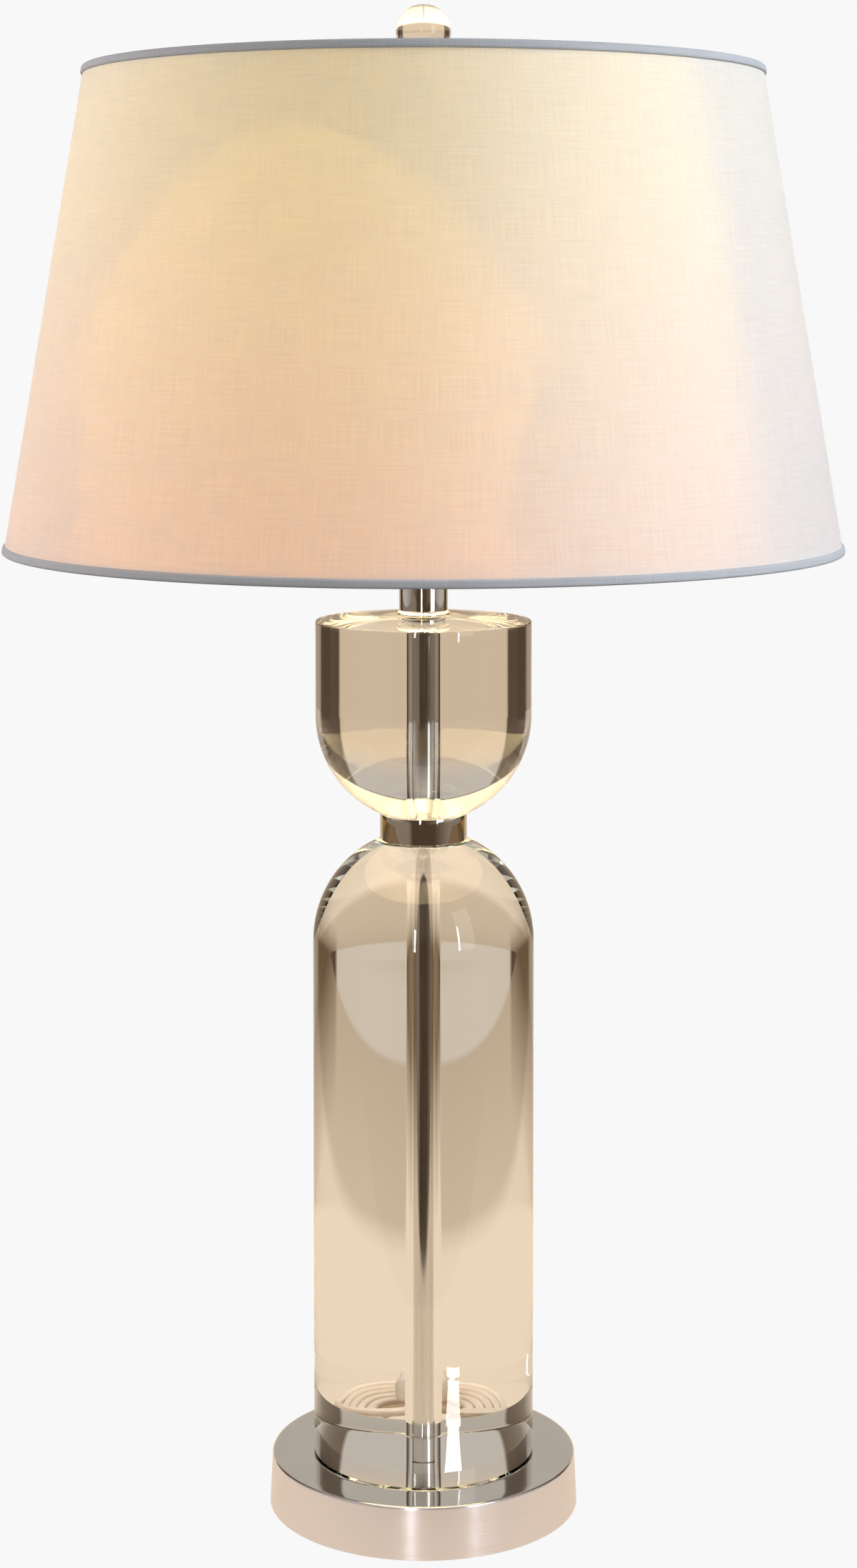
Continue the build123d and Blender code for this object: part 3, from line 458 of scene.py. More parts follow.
def shade_lining():
    """Smooth styrene lining inside the shade."""
    shade = bpy.context.scene.lamp_shade
    light = shade.lining_colour
    dark = [0.96 * share for share in light]
    material, tree, shader = plain_finish("shade_lining", dark, light, (0.4, 0.55), 120.0, 0.00002)
    cloud = colours(tree, grain(tree, 120.0), [(0.3, dark), (0.7, light)])
    let_through(tree, shader, cloud, shade.lining_share)
    return material


def hem_cloth():
    """Rolled hem cloth, doubled over the ring so that no light comes through; its grey is painted shade on
    what is the shade's own white cloth.
    """
    shade = bpy.context.scene.lamp_shade
    # Painted shade: the hem takes a grey in place of the white cloth's colour, so it reads as a darker band.
    slub = [0.86 * share for share in shade.shaded_hem_colour]
    return woven_finish("hem_cloth", shade.shaded_hem_colour, slub, shade.thread_pitch)[0]


finish_makers = {maker.__name__: maker for maker in (
    polished_metal, satin_metal, crystal, clear_gasket, felt, bulb_glass, shade_fabric, seam_cloth,
    shade_lining, hem_cloth, cord_plastic, bushing_plastic, tie_plastic, plug_plastic)}


finishes_made = {}


def finish(name):
    """The finish of that name, made at its first use."""
    if name not in finishes_made:
        plain = plain_finishes.get(name)
        finishes_made[name] = plain_finish(name, *plain)[0] if plain else finish_makers[name]()
    return finishes_made[name]


def dress(*nodes):
    """Gives CAD nodes the finish of their own slot."""
    for node in nodes:
        for slot in frame["nodes"][node].material_slots:
            slot.material = finish(slot_of_node[node])


def area_light(name, power, colour, place, size, aim):
    """A flat light of that width and height, shining along aim and hidden from the camera."""
    light = bpy.data.lights.new(name, "AREA")
    light.shape = "RECTANGLE"
    light.size, light.size_y = size
    light.energy = power
    light.color = colour
    panel = bpy.data.objects.new(name, light)
    panel.location = place
    panel.rotation_euler = aim.to_track_quat("-Z", "Y").to_euler()
    panel.visible_camera = False
    bpy.context.collection.objects.link(panel)
    return panel


def mirroring_pieces():
    """The collection of pieces that the cards on the table mirror in."""
    name = "mirroring_pieces"
    return bpy.data.collections.get(name) or bpy.data.collections.new(name)


def radius_and_levels(node):
    """A turned node's outer radius, and the heights of its bottom and top."""
    low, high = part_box(node)
    return high.x, low.z, high.z


def arc(centre, radius, start, end, steps):
    """Points of an arc in an outline of radius and height, angles in degrees from straight out."""
    turns = [math.radians(start + (end - start) * step / steps) for step in range(steps + 1)]
    return [(centre[0] + radius * math.cos(turn), centre[1] + radius * math.sin(turn)) for turn in turns]


def folded(corners, reach, steps=8):
    """An outline whose corners roll over from so far on each side."""
    outline = []
    for place, corner in enumerate(corners):
        here = Vector(corner)
        back = (Vector(corners[place - 1]) - here).normalized() * reach
        ahead = (Vector(corners[(place + 1) % len(corners)]) - here).normalized() * reach
        for step in range(steps + 1):
            share = step / steps
            outline.append(tuple(here + back * (1 - share) ** 2 + ahead * share ** 2))
    return outline


def turned(name, outline, materials, segments=192, bands=None):
    """A solid of revolution from a closed outline of (radius, height), with the cloth's or metal's own
    coordinates in metres; bands gives the material of each stretch of the outline."""
    mesh = bpy.data.meshes.new(name)
    for material in materials:
        mesh.materials.append(material)
    form = bmesh.new()
    sheet = form.loops.layers.uv.new("UVMap")
    rings = []
    for radius, height in outline:
        if radius < 1e-7:
            rings.append([form.verts.new((0.0, 0.0, height))] * segments)
            continue
        turns = [2 * math.pi * step / segments for step in range(segments)]
        rings.append([form.verts.new((radius * math.cos(turn), radius * math.sin(turn), height))
                      for turn in turns])
    wide = 2 * math.pi * max(radius for radius, height in outline)
    travelled = 0.0
    for place, (here, there) in enumerate(zip(rings, rings[1:] + rings[:1])):
        start, end = outline[place], outline[(place + 1) % len(outline)]
        reach = travelled + math.dist(start, end)
        if max(start[0], end[0]) > 1e-7:
            for step in range(segments):
                beside = (step + 1) % segments
                corners = [(here[step], step, travelled), (here[beside], step + 1, travelled),
                           (there[beside], step + 1, reach), (there[step], step, reach)]
                kept = [corner for index, corner in enumerate(corners)
                        if corner[0] not in [other[0] for other in corners[:index]]]
                face = form.faces.new([corner[0] for corner in kept])
                face.smooth = True
                face.material_index = bands[place] if bands else 0
                for loop, corner in zip(face.loops, kept):
                    loop[sheet].uv = (wide * corner[1] / segments, corner[2])
        travelled = reach
    bmesh.ops.recalc_face_normals(form, faces=form.faces)
    form.to_mesh(mesh)
    form.free()
    mesh.set_sharp_from_angle(angle=math.radians(30))
    piece = bpy.data.objects.new(name, mesh)
    bpy.context.collection.objects.link(piece)
    return piece


def fit(piece, body, slot, *nodes):
    """Puts a piece on its body, in place of its CAD nodes; the slot is not used."""
    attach(piece, body)
    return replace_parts(piece, *nodes)


class LAMP_OT_columns(bpy.types.Operator):
    """Turns the two crystal columns, each with a domed end and a bore for the pipe"""

    bl_idname = "lamp.columns"
    bl_label = "Crystal columns"

    def execute(self, context):
        settings = context.scene.lamp_crystal
        edge = settings.edge_round
        radius, low, high = radius_and_levels("lower_crystal")
        centre = high - math.sqrt(radius ** 2 - settings.lower_seat ** 2)
        crown = math.degrees(math.asin((high - centre) / radius))
        outline = [(settings.bore_radius, high), (settings.bore_radius, low)]
        outline += arc((radius - edge, low + edge), edge, -90, 0, 6)
        outline += [(radius, low + 3 * edge), (radius, centre - 2 * edge)]
        outline += arc((0.0, centre), radius, 0, crown, 72)
        lower = turned("lower_column", outline, [finish("crystal")], 320)
        fit(lower, "stand", "crystal", "lower_crystal")
        mirroring_pieces().objects.link(lower)
        radius, low, high = radius_and_levels("upper_crystal")
        centre = low + math.sqrt(radius ** 2 - settings.upper_seat ** 2)
        root = math.degrees(math.asin((low - centre) / radius))
        outline = [(settings.bore_radius, high), (settings.bore_radius, low)]
        outline += arc((0.0, centre), radius, root, 0, 72)
        outline += [(radius, centre + 2 * edge), (radius, high - 3 * edge)]
        outline += arc((radius - edge, high - edge), edge, 0, 90, 6)
        outline += [(radius - 3 * edge, high)]
        upper = turned("upper_column", outline, [finish("crystal")], 320)
        fit(upper, "stand", "crystal", "upper_crystal")
        return {"FINISHED"}


class LAMP_OT_base(bpy.types.Operator):
    """Spins the base's shell with its mirror top and satin side, and dresses what is under it"""

    bl_idname = "lamp.base"
    bl_label = "Base"

    outlet_share = 0.9
    cutter_length = 0.06

    def execute(self, context):
        metal = context.scene.lamp_metal
        wall, edge, top_radius = metal.base_wall, metal.base_edge, metal.base_top_radius
        radius, low, high = radius_and_levels("base_shell")
        bore = context.scene.lamp_crystal.bore_radius
        side = arc((top_radius - edge, high - edge), edge, 0, 90, 8)
        outline = [(radius, low)] + side + [(top_radius - 4 * edge, high), (bore, high), (bore, high - wall)]
        outline += [(top_radius - wall, high - wall), (radius - wall, low)]
        bands = [0] * 5 + [1] * 6 + [0] * 4
        plating = [finish("satin_metal"), finish("polished_metal")]
        shell = turned("base_spinning", outline, plating, 256, bands)
        cut = self.outlet(context, shell)
        fit(shell, "stand", "satin_metal", "base_shell")
        bpy.data.objects.remove(cut)
        dress("base_weight", "felt_pad", "base_cover", "base_lock_washer", "base_nut", "cord_bushing")
        return {"FINISHED"}

    def outlet(self, context, shell):
        """Cuts the cord's hole through the shell's side, round the bushing's neck."""
        low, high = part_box("cord_bushing")
        centre = (low + high) / 2
        radius = (high.z - low.z) / 2
        bpy.ops.mesh.primitive_cylinder_add(vertices=48, radius=radius * self.outlet_share,
                                            depth=self.cutter_length, location=centre)
        cutter = context.object
        cutter.rotation_euler = Vector((centre.x, centre.y, 0.0)).to_track_quat("Z", "Y").to_euler()
        modifier = shell.modifiers.new("Outlet", "BOOLEAN")
        modifier.operation = "DIFFERENCE"
        modifier.object = cutter
        context.view_layer.update()
        cut = bpy.data.meshes.new_from_object(shell.evaluated_get(context.evaluated_depsgraph_get()))
        shell.modifiers.clear()
        shell.data = cut
        return cutter


class LAMP_OT_metalwork(bpy.types.Operator):
    """Turns the collar, the neck and the pipe, and the clear gaskets between them"""

    bl_idname = "lamp.metalwork"
    bl_label = "Collar, neck and pipe"

    hair = 0.00004
    pipe_bore_share = 0.7
    pipe_chamfer_share = 0.06

    def execute(self, context):
        bore = context.scene.lamp_crystal.bore_radius
        edge = context.scene.lamp_metal.collar_edge
        polish = [finish("polished_metal")]
        radius, low, high = radius_and_levels("collar")
        outline = [(bore, low)] + arc((radius - edge, low + edge), edge, -90, 0, 5)
        outline += arc((radius - edge, high - edge), edge, 0, 90, 5) + [(bore, high)]
        fit(turned("collar_ring", outline, polish, 192), "stand", "polished_metal", "collar")
        radius, low, high = radius_and_levels("neck_ring")
        half = (high - low) / 2
        outline = [(bore, low)] + arc((radius - half, low + half), half, -90, 90, 20) + [(bore, high)]
        fit(turned("neck_bead", outline, polish, 160), "stand", "polished_metal", "neck_ring")
        radius, low, high = radius_and_levels("neck_tube")
        round_top = 2 * edge
        outline = [(bore, low), (radius, low)]
        outline += arc((radius - round_top, high - round_top), round_top, 0, 90, 6) + [(bore, high)]
        fit(turned("neck_sleeve", outline, polish, 160), "stand", "polished_metal", "neck_tube")
        radius, low, high = radius_and_levels("lamp_pipe")
        inner = radius * self.pipe_bore_share
        chamfer = radius * self.pipe_chamfer_share
        outline = [(inner, low), (radius - chamfer, low), (radius, low + chamfer), (radius, high - chamfer),
                   (radius - chamfer, high), (inner, high)]
        fit(turned("pipe", outline, [finish("pipe_metal")], 96), "stand", "pipe_metal", "lamp_pipe")
        self.gaskets(bore)
        dress("neck_washer")
        return {"FINISHED"}

    def gaskets(self, bore):
        """The clear washers under the lower column and on both sides of the collar."""
        radius, low, high = radius_and_levels("foot_gasket")
        self.washer("foot_washer", "foot_gasket", (bore, radius), (low, high))
        radius, low, high = radius_and_levels("collar_gaskets")
        collar_low, collar_high = (corner.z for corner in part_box("collar"))
        self.washer("under_collar_washer", "collar_gaskets", (bore, radius), (low, collar_low))
        self.washer("collar_washer", "collar_gaskets", (bore, radius), (collar_high, high))

    def washer(self, name, node, radii, levels):
        """A washer with a round rim, a hair thinner than its seat so that no faces coincide."""
        bore, radius = radii
        low, high = levels[0] + self.hair, levels[1] - self.hair
        bulge = (levels[1] - levels[0]) / 2 - self.hair
        outline = [(bore, low)] + arc((radius - bulge, low + bulge), bulge, -90, 90, 8) + [(bore, high)]
        fit(turned(name, outline, [finish("clear_gasket")], 128), "stand", "clear_gasket", node)


class LAMP_OT_shade(bpy.types.Operator):
    """Makes the shade: woven skin on its lining, rolled hems and the lapped seam at the rear"""

    bl_idname = "lamp.shade"
    bl_label = "Shade"

    flat_size = (1.216, 0.367)
    rows = 24
    lap_share = 0.4

    def execute(self, context):
        settings = context.scene.lamp_shade
        low_radius, low, skin_high = radius_and_levels("shade_skin")
        top_hem = self.hem("top_hem", "shade_top_hem", settings)
        bottom_hem = self.hem("bottom_hem", "shade_bottom_hem", settings)
        slope = self.slope()
        high_radius = low_radius - slope * (skin_high - low)
        shares = [row / self.rows for row in range(self.rows + 1)]
        outer = [(low_radius + (high_radius - low_radius) * share, low + (skin_high - low) * share)
                 for share in shares]
        inner = [(radius - settings.skin_thickness, height) for radius, height in reversed(outer)]
        bands = [0] * self.rows + [1] * (self.rows + 2)
        layers = [finish("shade_fabric"), finish("shade_lining")]
        skin = turned("shade_cloth", outer + inner, layers, 288, bands)
        fit(skin, "shade", "shade_fabric", "shade_skin")
        seam = self.seam(settings, outer)
        dress("shade_bottom_ring", "shade_frame")
        return {"FINISHED"}

    def slope(self):
        """How far the shade's radius shrinks for each metre of height."""
        low_radius, low = radius_and_levels("shade_bottom_hem")[:2]
        top_radius, top_low = radius_and_levels("shade_top_hem")[:2]
        return (low_radius - top_radius) / (top_low - low)

    def hem(self, name, node, settings):
        """A hem of cloth rolled over its ring."""
        radius, low, high = radius_and_levels(node)
        lean = self.slope() * (high - low)
        depth = settings.hem_depth
        corners = [(radius, low), (radius - lean, high), (radius - lean - depth, high), (radius - depth, low)]
        outline = folded(corners, settings.hem_fold)
        hem = turned(name, outline, [finish("hem_cloth")], 288)
        return fit(hem, "shade", "shade_fabric", node)

    def seam(self, settings, outer):
        """The skin's lapped edge, a thin strip up the rear."""
        lift = settings.skin_thickness * self.lap_share
        mesh = bpy.data.meshes.new("shade_seam")
        form = bmesh.new()
        sheet = form.loops.layers.uv.new("UVMap")
        rows = []
        for radius, height in outer:
            turn = settings.seam_width / radius
            steps = [math.pi / 2 + turn * (step / 4 - 0.5) for step in (0, 0.5, 2, 4, 4)]
            lifts = [0.0, lift, lift, lift, 0.0]
            places = [((radius + rise) * math.cos(step), (radius + rise) * math.sin(step), height)
                      for step, rise in zip(steps, lifts)]
            rows.append([form.verts.new(place) for place in places])
        for under, over in zip(rows, rows[1:]):
            for step in range(4):
                face = form.faces.new((under[step], under[step + 1], over[step + 1], over[step]))
                face.smooth = True
                for loop in face.loops:
                    loop[sheet].uv = (loop.vert.co.x, loop.vert.co.z)
        form.to_mesh(mesh)
        form.free()
        mesh.materials.append(finish("seam_cloth"))
        strip = bpy.data.objects.new("shade_seam", mesh)
        bpy.context.collection.objects.link(strip)
        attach(strip, "shade")
        return strip


class LAMP_OT_bulb(bpy.types.Operator):
    """Blows the frosted globe, lights it and dresses the bulb's cap"""

    bl_idname = "lamp.bulb"
    bl_label = "Bulb"

    neck_share = 0.407
    wall_share = 1 / 30
    neck_rise = 0.010
    shoulder = -25
    lead_share = 0.45

    def execute(self, context):
        bulb = context.scene.lamp_bulb
        radius, low, high = radius_and_levels("bulb_globe")
        cap_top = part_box("bulb_cap")[1].z
        neck = radius * self.neck_share
        wall = radius * self.wall_share
        centre = high - radius
        neck_top = cap_top + self.neck_rise
        joint = arc((0.0, centre), radius, self.shoulder, self.shoulder, 1)[0]
        lead = (joint[1] - neck_top) * self.lead_share
        lean = math.radians(self.shoulder)
        bend = [(neck, neck_top), (neck, neck_top + lead),
                (joint[0] + math.sin(lean) * lead, joint[1] - math.cos(lean) * lead), joint]
        outer = [(neck, low)] + self.curve(bend, 14)
        outer += arc((0.0, centre), radius, self.shoulder, 90, 28)[1:-1]
        inner = [(reach - wall, height) for reach, height in reversed(outer)]
        outline = outer + [(0.0, high), (0.0, high - wall)] + inner[2:]
        globe = turned("globe", outline, [finish("bulb_glass")], 96)
        fit(globe, "bulb", "bulb_glass", "bulb_globe")
        self.warm_light(bulb)
        dress("bulb_tip", "bulb_insulator", "bulb_cap")
        return {"FINISHED"}

    def warm_light(self, bulb):
        """The bulb's stronger light towards the shade's front left."""
        level = Vector((bulb.light_place[0], bulb.light_place[1], 0.0))
        lamp = area_light("bulb_light", bulb.light_power, bulb.light_colour, bulb.light_place,
                          bulb.light_size, level)
        lamp.visible_glossy = False
        lamp.visible_transmission = False

    def curve(self, points, steps):
        """Points of the smooth bend between the globe's neck and its round."""
        first, second, third, fourth = (Vector(point) for point in points)
        shares = [step / steps for step in range(steps + 1)]
        return [tuple(first * (1 - share) ** 3 + second * 3 * share * (1 - share) ** 2
                      + third * 3 * share ** 2 * (1 - share) + fourth * share ** 3) for share in shares]


class LAMP_OT_fittings(bpy.types.Operator):
    """Dresses the harp, the socket and its switch"""

    bl_idname = "lamp.fittings"
    bl_label = "Harp, socket and switch"

    def execute(self, context):
        dress("harp_saddle", "harp_bow", "harp_stud", "harp_sleeve_left", "harp_sleeve_right")
        dress("socket_cap", "socket_shell", "socket_liner", "socket_core", "terminal_screws")
        dress("centre_contact", "screw_shell")
        dress("switch_stem", "switch_knob", "inner_cord")
        return {"FINISHED"}


class LAMP_OT_finial(bpy.types.Operator):
    """Turns the finial's crystal ball and dresses its metal foot"""

    bl_idname = "lamp.finial"
    bl_label = "Finial"

    def execute(self, context):
        radius, low, high = radius_and_levels("finial_ball")
        outline = arc((0.0, (low + high) / 2), radius, -90, 90, 64)
        outline[0] = (0.0, low)
        outline[-1] = (0.0, high)
        ball = turned("finial_crystal", outline, [finish("crystal")], 128)
        fit(ball, "finial", "crystal", "finial_ball")
        dress("finial_base", "finial_insert")
        return {"FINISHED"}


class LAMP_OT_cord(bpy.types.Operator):
    """Lays the twin flex along its route: out of the base, round its coil and up to the plug"""

    bl_idname = "lamp.cord"
    bl_label = "Cord and plug"

    exit_point = (-0.037213, 0.083582, 0.009)
    lead_points = ((-0.04168, 0.09363, 0.009), (-0.04184, 0.110, 0.0037))
    tail_points = ((0.04188, 0.1082, 0.0092), (0.03373, 0.09727, 0.0131), (0.02085, 0.09308, 0.0165),
                   (0.00797, 0.09727, 0.018), (0.0, 0.1082, 0.018), (0.0, 0.121, 0.018))
    coil_centre = (0.0, 0.126)
    coil_radius = 0.0415
    coil_pitch = 0.0055
    coil_turns = 9.5
    coil_low = 0.0037

    def execute(self, context):
        settings = context.scene.lamp_cord
        route = self.route(settings)
        path = self.line(route)
        flex = self.flex(path, settings)
        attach(flex, "stand")
        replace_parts(flex, "cord_lead", "cord_coil", "cord_tail")
        dress("cord_tie", "plug_body", "plug_blades")
        return {"FINISHED"}

    def route(self, settings):
        """The route's points: the lead, the coil wound in and out again a layer higher, and the tail."""
        count = round(self.coil_turns * settings.points_per_turn)
        middle = self.coil_turns / 2
        coil = []
        for step in range(count + 1):
            turn = self.coil_turns * step / count
            radius = self.coil_radius - self.coil_pitch * (middle - abs(turn - middle))
            rise = min(max((turn - middle) * 2 + 0.5, 0.0), 1.0)
            angle = math.pi - 2 * math.pi * turn
            coil.append((self.coil_centre[0] + radius * math.cos(angle),
                         self.coil_centre[1] + radius * math.sin(angle),
                         self.coil_low + self.coil_pitch * (1 - math.cos(math.pi * rise)) / 2))
        return [self.exit_point, *self.lead_points, *coil, *self.tail_points]

    def line(self, route):
        """Points of the smooth line through the route, read from a spline with no thickness."""
        curve = bpy.data.curves.new("cord_route", "CURVE")
        curve.dimensions = "3D"
        curve.resolution_u = 6
        spline = curve.splines.new("NURBS")
        spline.points.add(len(route) - 1)
        for point, place in zip(spline.points, route):
            point.co = (*place, 1.0)
        spline.order_u = 3
        spline.use_endpoint_u = True
        carrier = bpy.data.objects.new("cord_route", curve)
        bpy.context.collection.objects.link(carrier)
        bpy.context.view_layer.update()
        read = bpy.data.meshes.new_from_object(carrier.evaluated_get(bpy.context.evaluated_depsgraph_get()))
        path = [vertex.co.copy() for vertex in read.vertices]
        bpy.data.objects.remove(carrier)
        bpy.data.meshes.remove(read)
        return path

    def flex(self, path, settings):
        """Two round cores side by side in one cover, lying flat, with flat ends."""
        core = settings.thickness / 2
        apart = settings.width / 2 - core
        meet = math.degrees(math.acos(apart / core))
        right = [math.radians(-180 + meet + (360 - 2 * meet) * step / 12) for step in range(13)]
        section = [(apart + core * math.cos(turn), core * math.sin(turn)) for turn in right]
        section += [(-across, -up) for across, up in section[1:-1]]
        mesh = bpy.data.meshes.new("twin_flex")
        form = bmesh.new()
        sheet = form.loops.layers.uv.new("UVMap")
        rings, travelled = [], [0.0]
        for place, here in enumerate(path):
            ahead = path[min(place + 1, len(path) - 1)] - path[max(place - 1, 0)]
            side = ahead.cross(Vector((0.0, 0.0, 1.0))).normalized()
            up = side.cross(ahead).normalized()
            rings.append([form.verts.new(here + side * across + up * rise) for across, rise in section])
            if place:
                travelled.append(travelled[-1] + (here - path[place - 1]).length)
        count = len(section)
        for place, (here, there) in enumerate(zip(rings, rings[1:])):
            for step in range(count):
                beside = (step + 1) % count
                face = form.faces.new((here[step], here[beside], there[beside], there[step]))
                face.smooth = True
                corners = ((place, step), (place, step + 1), (place + 1, step + 1), (place + 1, step))
                for loop, (along, round_it) in zip(face.loops, corners):
                    loop[sheet].uv = (travelled[along], settings.width * 3 * round_it / count)
        form.faces.new(rings[0])
        form.faces.new(rings[-1])
        bmesh.ops.recalc_face_normals(form, faces=form.faces)
        form.to_mesh(mesh)
        form.free()
        mesh.set_sharp_from_angle(angle=math.radians(50))
        mesh.materials.append(finish("cord_plastic"))
        piece = bpy.data.objects.new("twin_flex", mesh)
        bpy.context.collection.objects.link(piece)
        return piece


class LAMP_OT_stage(bpy.types.Operator):
    """Sets the camera, the plain pale floor, the room's soft glow and the lights"""

    bl_idname = "lamp.stage"
    bl_label = "Camera, floor and lights"

    table_front = -0.38
    table_rear = 0.86
    far_edge = 2.68
    rear_edge = 0.217
    floor_start, floor_end = 0.30, 2.80
    wall_start, wall_end = 0.10, 0.35
    card_level = 0.002
    pale_table, table, shaded_table = (0.85, 0.68, 0.50), (0.65, 0.50, 0.35), (0.55, 0.43, 0.30)
    far_floor = (0.66, 0.56, 0.45)
    wall, grey, dark, amber = (0.50, 0.45, 0.40), (0.25, 0.20, 0.15), (0.08, 0.05, 0.03), (0.40, 0.20, 0.06)
    rear_tones = ((0.40, pale_table), (0.46, table), (0.85, shaded_table), (0.87, far_floor),
                  (1.10, far_floor), (1.36, shaded_table), (2.40, table))
    aside_tones = ((0.45, (1.0, 1.0, 1.0)), (0.90, grey))
    corner_tones = ((0.87, dark), (1.50, amber))
    room_tones = ((0.08, dark), (0.11, grey), (0.32, grey), (0.33, dark), (0.391, dark), (0.395, table),
                  (0.605, table), (0.609, dark), (0.67, dark), (0.68, grey), (0.80, grey), (0.92, dark))
    card_root = (0.0145, -0.0518)
    card_turn = 31.0
    card_glow = 15.0
    cards = (("card_near", 0.064, 0.072, 0.034), ("card_middle", 0.136, 0.065, 0.046),
             ("card_far", 0.207, 0.014, 0.056))
    low_tones = ((0.08, dark), (0.15, grey), (0.25, wall), (0.32, wall), (0.33, dark), (0.391, dark),
                 (0.395, table), (0.605, table), (0.609, dark), (0.67, dark), (0.69, wall), (0.77, wall),
                 (0.86, grey), (0.98, dark))
    high_tones = ((0.25, wall), (0.33, dark), (0.389, dark), (0.393, wall), (0.607, wall), (0.611, dark),
                  (0.67, dark), (0.75, wall))

    def execute(self, context):
        settings = context.scene.lamp_stage
        self.camera(context, settings)
        self.floor(settings)
        self.room(context, settings)
        self.panel_light("softbox", settings.softbox_power, (0.93, 0.97, 1.0), (1.15, -1.15, 0.80),
                         (0.55, 1.15))
        for name, power, colour, place, size, mirrors in (
                ("strip", settings.strip_power, (1.0, 1.0, 1.0), (-0.27, -1.75, 0.58), (0.05, 0.7), True),
                ("edge", settings.strip_power / 2, (0.95, 0.98, 1.0), (1.03, -1.38, 0.58), (0.05, 0.7), True),
                ("key", settings.key_power, (0.82, 0.90, 1.0), (1.58, -0.39, 1.45), (1.0, 1.0), False),
                ("fill", settings.fill_power, (1.0, 0.95, 0.97), (-1.62, 0.12, 1.00), (1.2, 1.0), False),
                ("back", settings.back_power, (1.0, 0.93, 0.84), (0.0, 1.5, 1.0), (1.2, 0.9), False)):
            panel = self.panel_light(name, power, colour, place, size)
            panel.visible_transmission = False
            panel.visible_glossy = mirrors
        low = self.panel_light("low", settings.low_power, (1.0, 0.98, 0.97), (0.0, 0.34, 0.36), (0.4, 0.2),
                               (0.0, 0.12, 0.0))
        low.visible_transmission = low.visible_glossy = False
        for card in self.cards:
            panel = self.card_light(*card)
            panel.visible_transmission = panel.visible_diffuse = False
        scene = context.scene
        scene.view_settings.view_transform = "Standard"
        scene.cycles.max_bounces = 20
        scene.cycles.transmission_bounces = 20
        scene.cycles.glossy_bounces = 10
        return {"FINISHED"}

    def camera(self, context, settings):
        """A camera at the photograph's distance and angle."""
        camera = bpy.data.cameras.new("view")
        camera.lens = settings.camera_lens
        camera.shift_x, camera.shift_y = settings.camera_shift
        holder = bpy.data.objects.new("view", camera)
        holder.location = settings.camera_place
        holder.rotation_euler = (settings.camera_tilt, 0.0, 0.0)
        context.collection.objects.link(holder)
        context.scene.camera = holder

    def turn(self, tree, vector):
        """The direction's turn about the lamp, a half at the rear, 0 and 1 at the front, and its parts."""
        parts = add_node(tree, "ShaderNodeSeparateXYZ", sockets={"Vector": vector})
        angle = worked(tree, "ARCTAN2", parts.outputs["X"], parts.outputs["Y"])
        return between(tree, angle, 0.0, 1.0, -math.pi, math.pi), parts

    def paper_or_room(self, tree, room_colour, settings, output):
        """Plain white to the eye, a grey glow on dull surfaces, the room's colours in crystal and metal."""
        kind = "ShaderNodeEmission" if output == "Surface" else "ShaderNodeBackground"
        white, grey = ((share, share, share, 1.0) for share in (settings.paper_white, settings.soft_glow))
        paper, glow = (add_node(tree, kind, sockets={"Color": tone}) for tone in (white, grey))
        room = add_node(tree, kind, sockets={"Color": room_colour})
        path = add_node(tree, "ShaderNodeLightPath")
        dull = add_node(tree, "ShaderNodeMixShader", sockets={
            "Fac": path.outputs["Is Diffuse Ray"], 1: room.outputs[0], 2: glow.outputs[0]})
        seen = add_node(tree, "ShaderNodeMixShader", sockets={
            "Fac": path.outputs["Is Camera Ray"], 1: dull.outputs["Shader"], 2: paper.outputs[0]})
        target = [node for node in tree.nodes if node.bl_idname.startswith("ShaderNodeOutput")][0]
        feed(tree, target, {"Surface": seen.outputs["Shader"]})

    def mixed(self, tree, share, low, high):
        """A colour between two others."""
        mix = add_node(tree, "ShaderNodeMix", {"data_type": "RGBA"}, {0: share, 6: low, 7: high})
        return mix.outputs[2]

    def past(self, tree, value, edge, blur=0.012):
        """0 before an edge and 1 past it, with a narrow blur."""
        return between(tree, value, 0.0, 1.0, edge - blur, edge + blur)

    def size_of(self, tree, value):
        """A number without its sign."""
        return worked(tree, "ABSOLUTE", value)

    def along_floor(self, tree, depth, tones):
        """The floor's colour from stops of (metres along it, colour)."""
        length = self.floor_end - self.floor_start
        stops = [((metres - self.floor_start) / length, tone) for metres, tone in tones]
        return colours(tree, between(tree, depth, 0.0, 1.0, self.floor_start, self.floor_end), stops)

    def floor(self, settings):
        """A wide pale floor: a warm table round the lamp, and the room's tones further out."""
        bpy.ops.mesh.primitive_plane_add(size=9.0, location=(0.0, 0.0, -0.0005))
        plane = bpy.context.object
        plane.name = "floor"
        material = bpy.data.materials.new("floor_paper")
        material.use_nodes = True
        tree = material.node_tree
        tree.nodes.remove(tree.nodes["Principled BSDF"])
        place = add_node(tree, "ShaderNodeNewGeometry").outputs["Position"]
        turn, parts = self.turn(tree, place)
        depth = parts.outputs["Y"]
        off_rear = self.size_of(tree, between(tree, turn, -0.5, 0.5, 0.0, 1.0))
        aside = self.past(tree, off_rear, self.rear_edge / 2, 0.003)
        rear = self.along_floor(tree, depth, self.rear_tones)
        shade = self.along_floor(tree, self.size_of(tree, parts.outputs["X"]), self.aside_tones)
        shaded = add_node(tree, "ShaderNodeMix", {"data_type": "RGBA", "blend_type": "MULTIPLY"},
                          {0: 1.0, 6: rear, 7: shade})
        side = self.mixed(tree, self.past(tree, depth, self.table_rear), shaded.outputs[2],
                          self.along_floor(tree, depth, self.corner_tones))
        away = add_node(tree, "ShaderNodeVectorMath", {"operation": "LENGTH"}, {0: place})
        far = self.past(tree, away.outputs["Value"], self.far_edge)
        in_room = worked(tree, "SUBTRACT", self.past(tree, depth, self.table_front), far)
        tone = self.mixed(tree, in_room, colours(tree, turn, self.room_tones),
                          self.mixed(tree, aside, rear, side))
        self.paper_or_room(tree, tone, settings, "Surface")
        plane.data.materials.append(material)

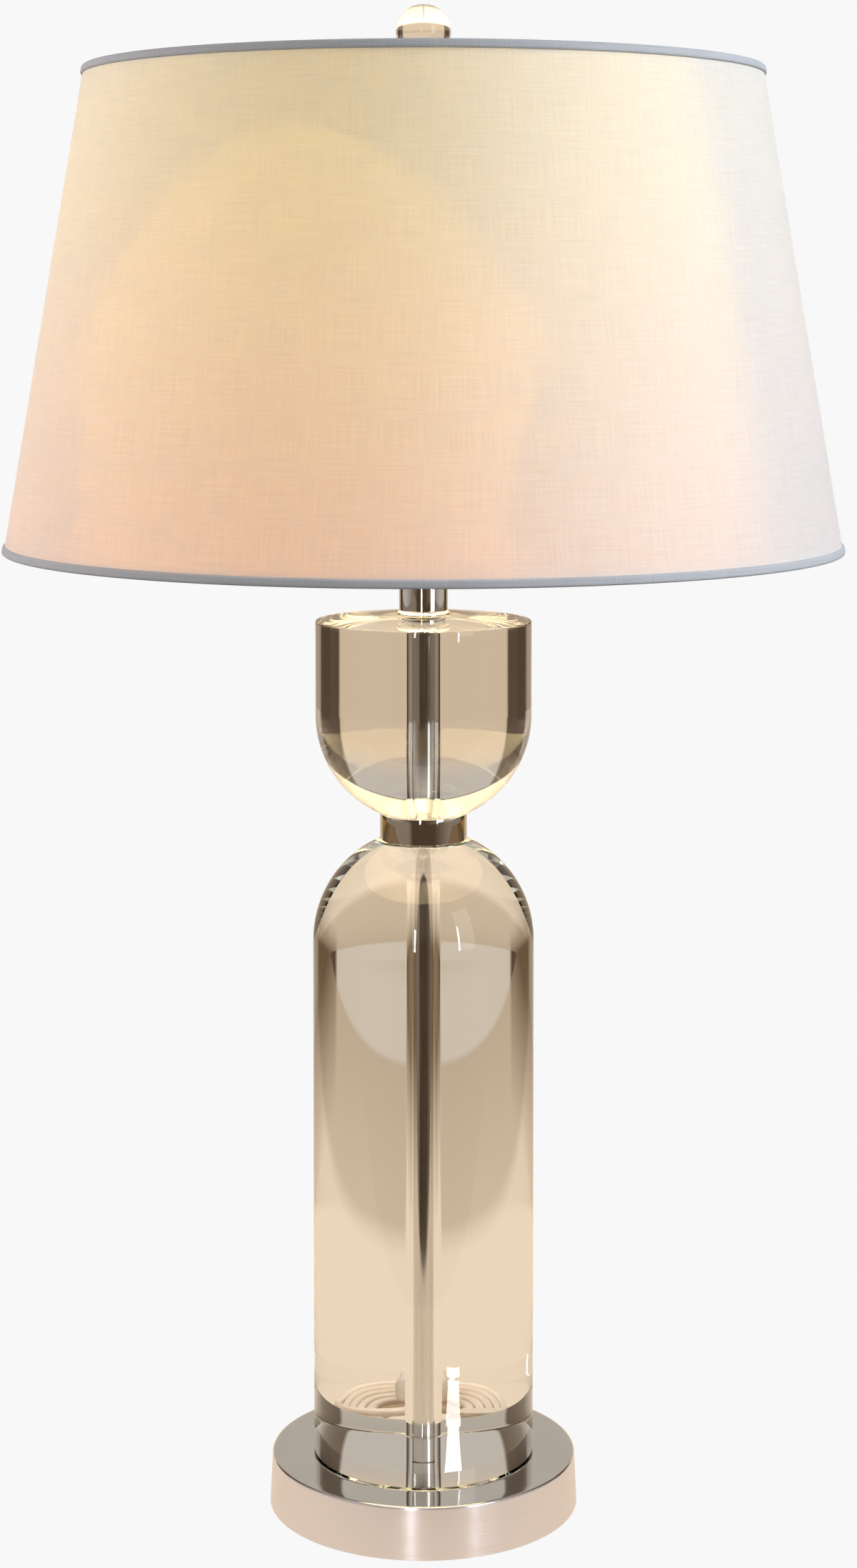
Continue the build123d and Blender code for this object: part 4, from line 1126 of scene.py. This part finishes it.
    def room(self, context, settings):
        """Soft surroundings: the room's tones low down and a pale wall higher up."""
        world = bpy.data.worlds.new("room")
        world.use_nodes = True
        context.scene.world = world
        tree = world.node_tree
        tree.nodes.remove(tree.nodes["Background"])
        turn, parts = self.turn(tree, add_node(tree, "ShaderNodeTexCoord").outputs["Generated"])
        rise = between(tree, parts.outputs["Z"], 0.0, 1.0, self.wall_start, self.wall_end)
        tone = self.mixed(tree, rise, colours(tree, turn, self.low_tones),
                          colours(tree, turn, self.high_tones))
        self.paper_or_room(tree, tone, settings, "World")

    def card_light(self, name, reach, length, width):
        """A white card flat on the table before the lamp, mirrored in the lower column."""
        turn = math.radians(self.card_turn)
        middle = reach + length / 2
        place = (self.card_root[0] + middle * math.sin(turn), self.card_root[1] - middle * math.cos(turn),
                 self.card_level)
        power = self.card_glow * math.pi * length * width
        panel = self.panel_light(name, power, (1.0, 1.0, 1.0), place, (width, length))
        panel.rotation_euler = (math.pi, 0.0, turn)
        panel.light_linking.receiver_collection = mirroring_pieces()
        return panel

    def panel_light(self, name, power, colour, place, size, target=(0.0, 0.0, 0.40)):
        """A flat light turned to the lamp's middle or another target."""
        return area_light(name, power, colour, place, size, Vector(target) - Vector(place))


settings_groups = {
    "lamp_crystal": LampCrystalSettings, "lamp_metal": LampMetalSettings, "lamp_shade": LampShadeSettings,
    "lamp_bulb": LampBulbSettings, "lamp_cord": LampCordSettings, "lamp_stage": LampStageSettings,
}
steps = (LAMP_OT_stage, LAMP_OT_cord, LAMP_OT_base, LAMP_OT_columns, LAMP_OT_metalwork, LAMP_OT_fittings,
         LAMP_OT_bulb, LAMP_OT_shade, LAMP_OT_finial)


class LAMP_PT_sidebar(bpy.types.Panel):
    """Lists the lamp's pieces and their settings"""

    bl_idname = "LAMP_PT_sidebar"
    bl_label = "Table lamp"
    bl_space_type = "VIEW_3D"
    bl_region_type = "UI"
    bl_category = "Table lamp"

    def draw(self, context):
        for step in steps:
            self.layout.operator(step.bl_idname)
        for group in settings_groups:
            box = self.layout.box()
            values = getattr(context.scene, group)
            for name in values.__annotations__:
                box.prop(values, name)


def register():
    for group, kind in settings_groups.items():
        bpy.utils.register_class(kind)
        setattr(bpy.types.Scene, group, PointerProperty(type=kind))
    for step in (*steps, LAMP_PT_sidebar):
        bpy.utils.register_class(step)


def unregister():
    for step in reversed((*steps, LAMP_PT_sidebar)):
        bpy.utils.unregister_class(step)
    for group, kind in settings_groups.items():
        delattr(bpy.types.Scene, group)
        bpy.utils.unregister_class(kind)


def main():
    register()
    bpy.ops.lamp.stage()
    bpy.ops.lamp.cord()
    bpy.ops.lamp.base()
    bpy.ops.lamp.columns()
    bpy.ops.lamp.metalwork()
    bpy.ops.lamp.fittings()
    bpy.ops.lamp.bulb()
    bpy.ops.lamp.shade()
    bpy.ops.lamp.finial()


if __name__ == "__main__":
    main()
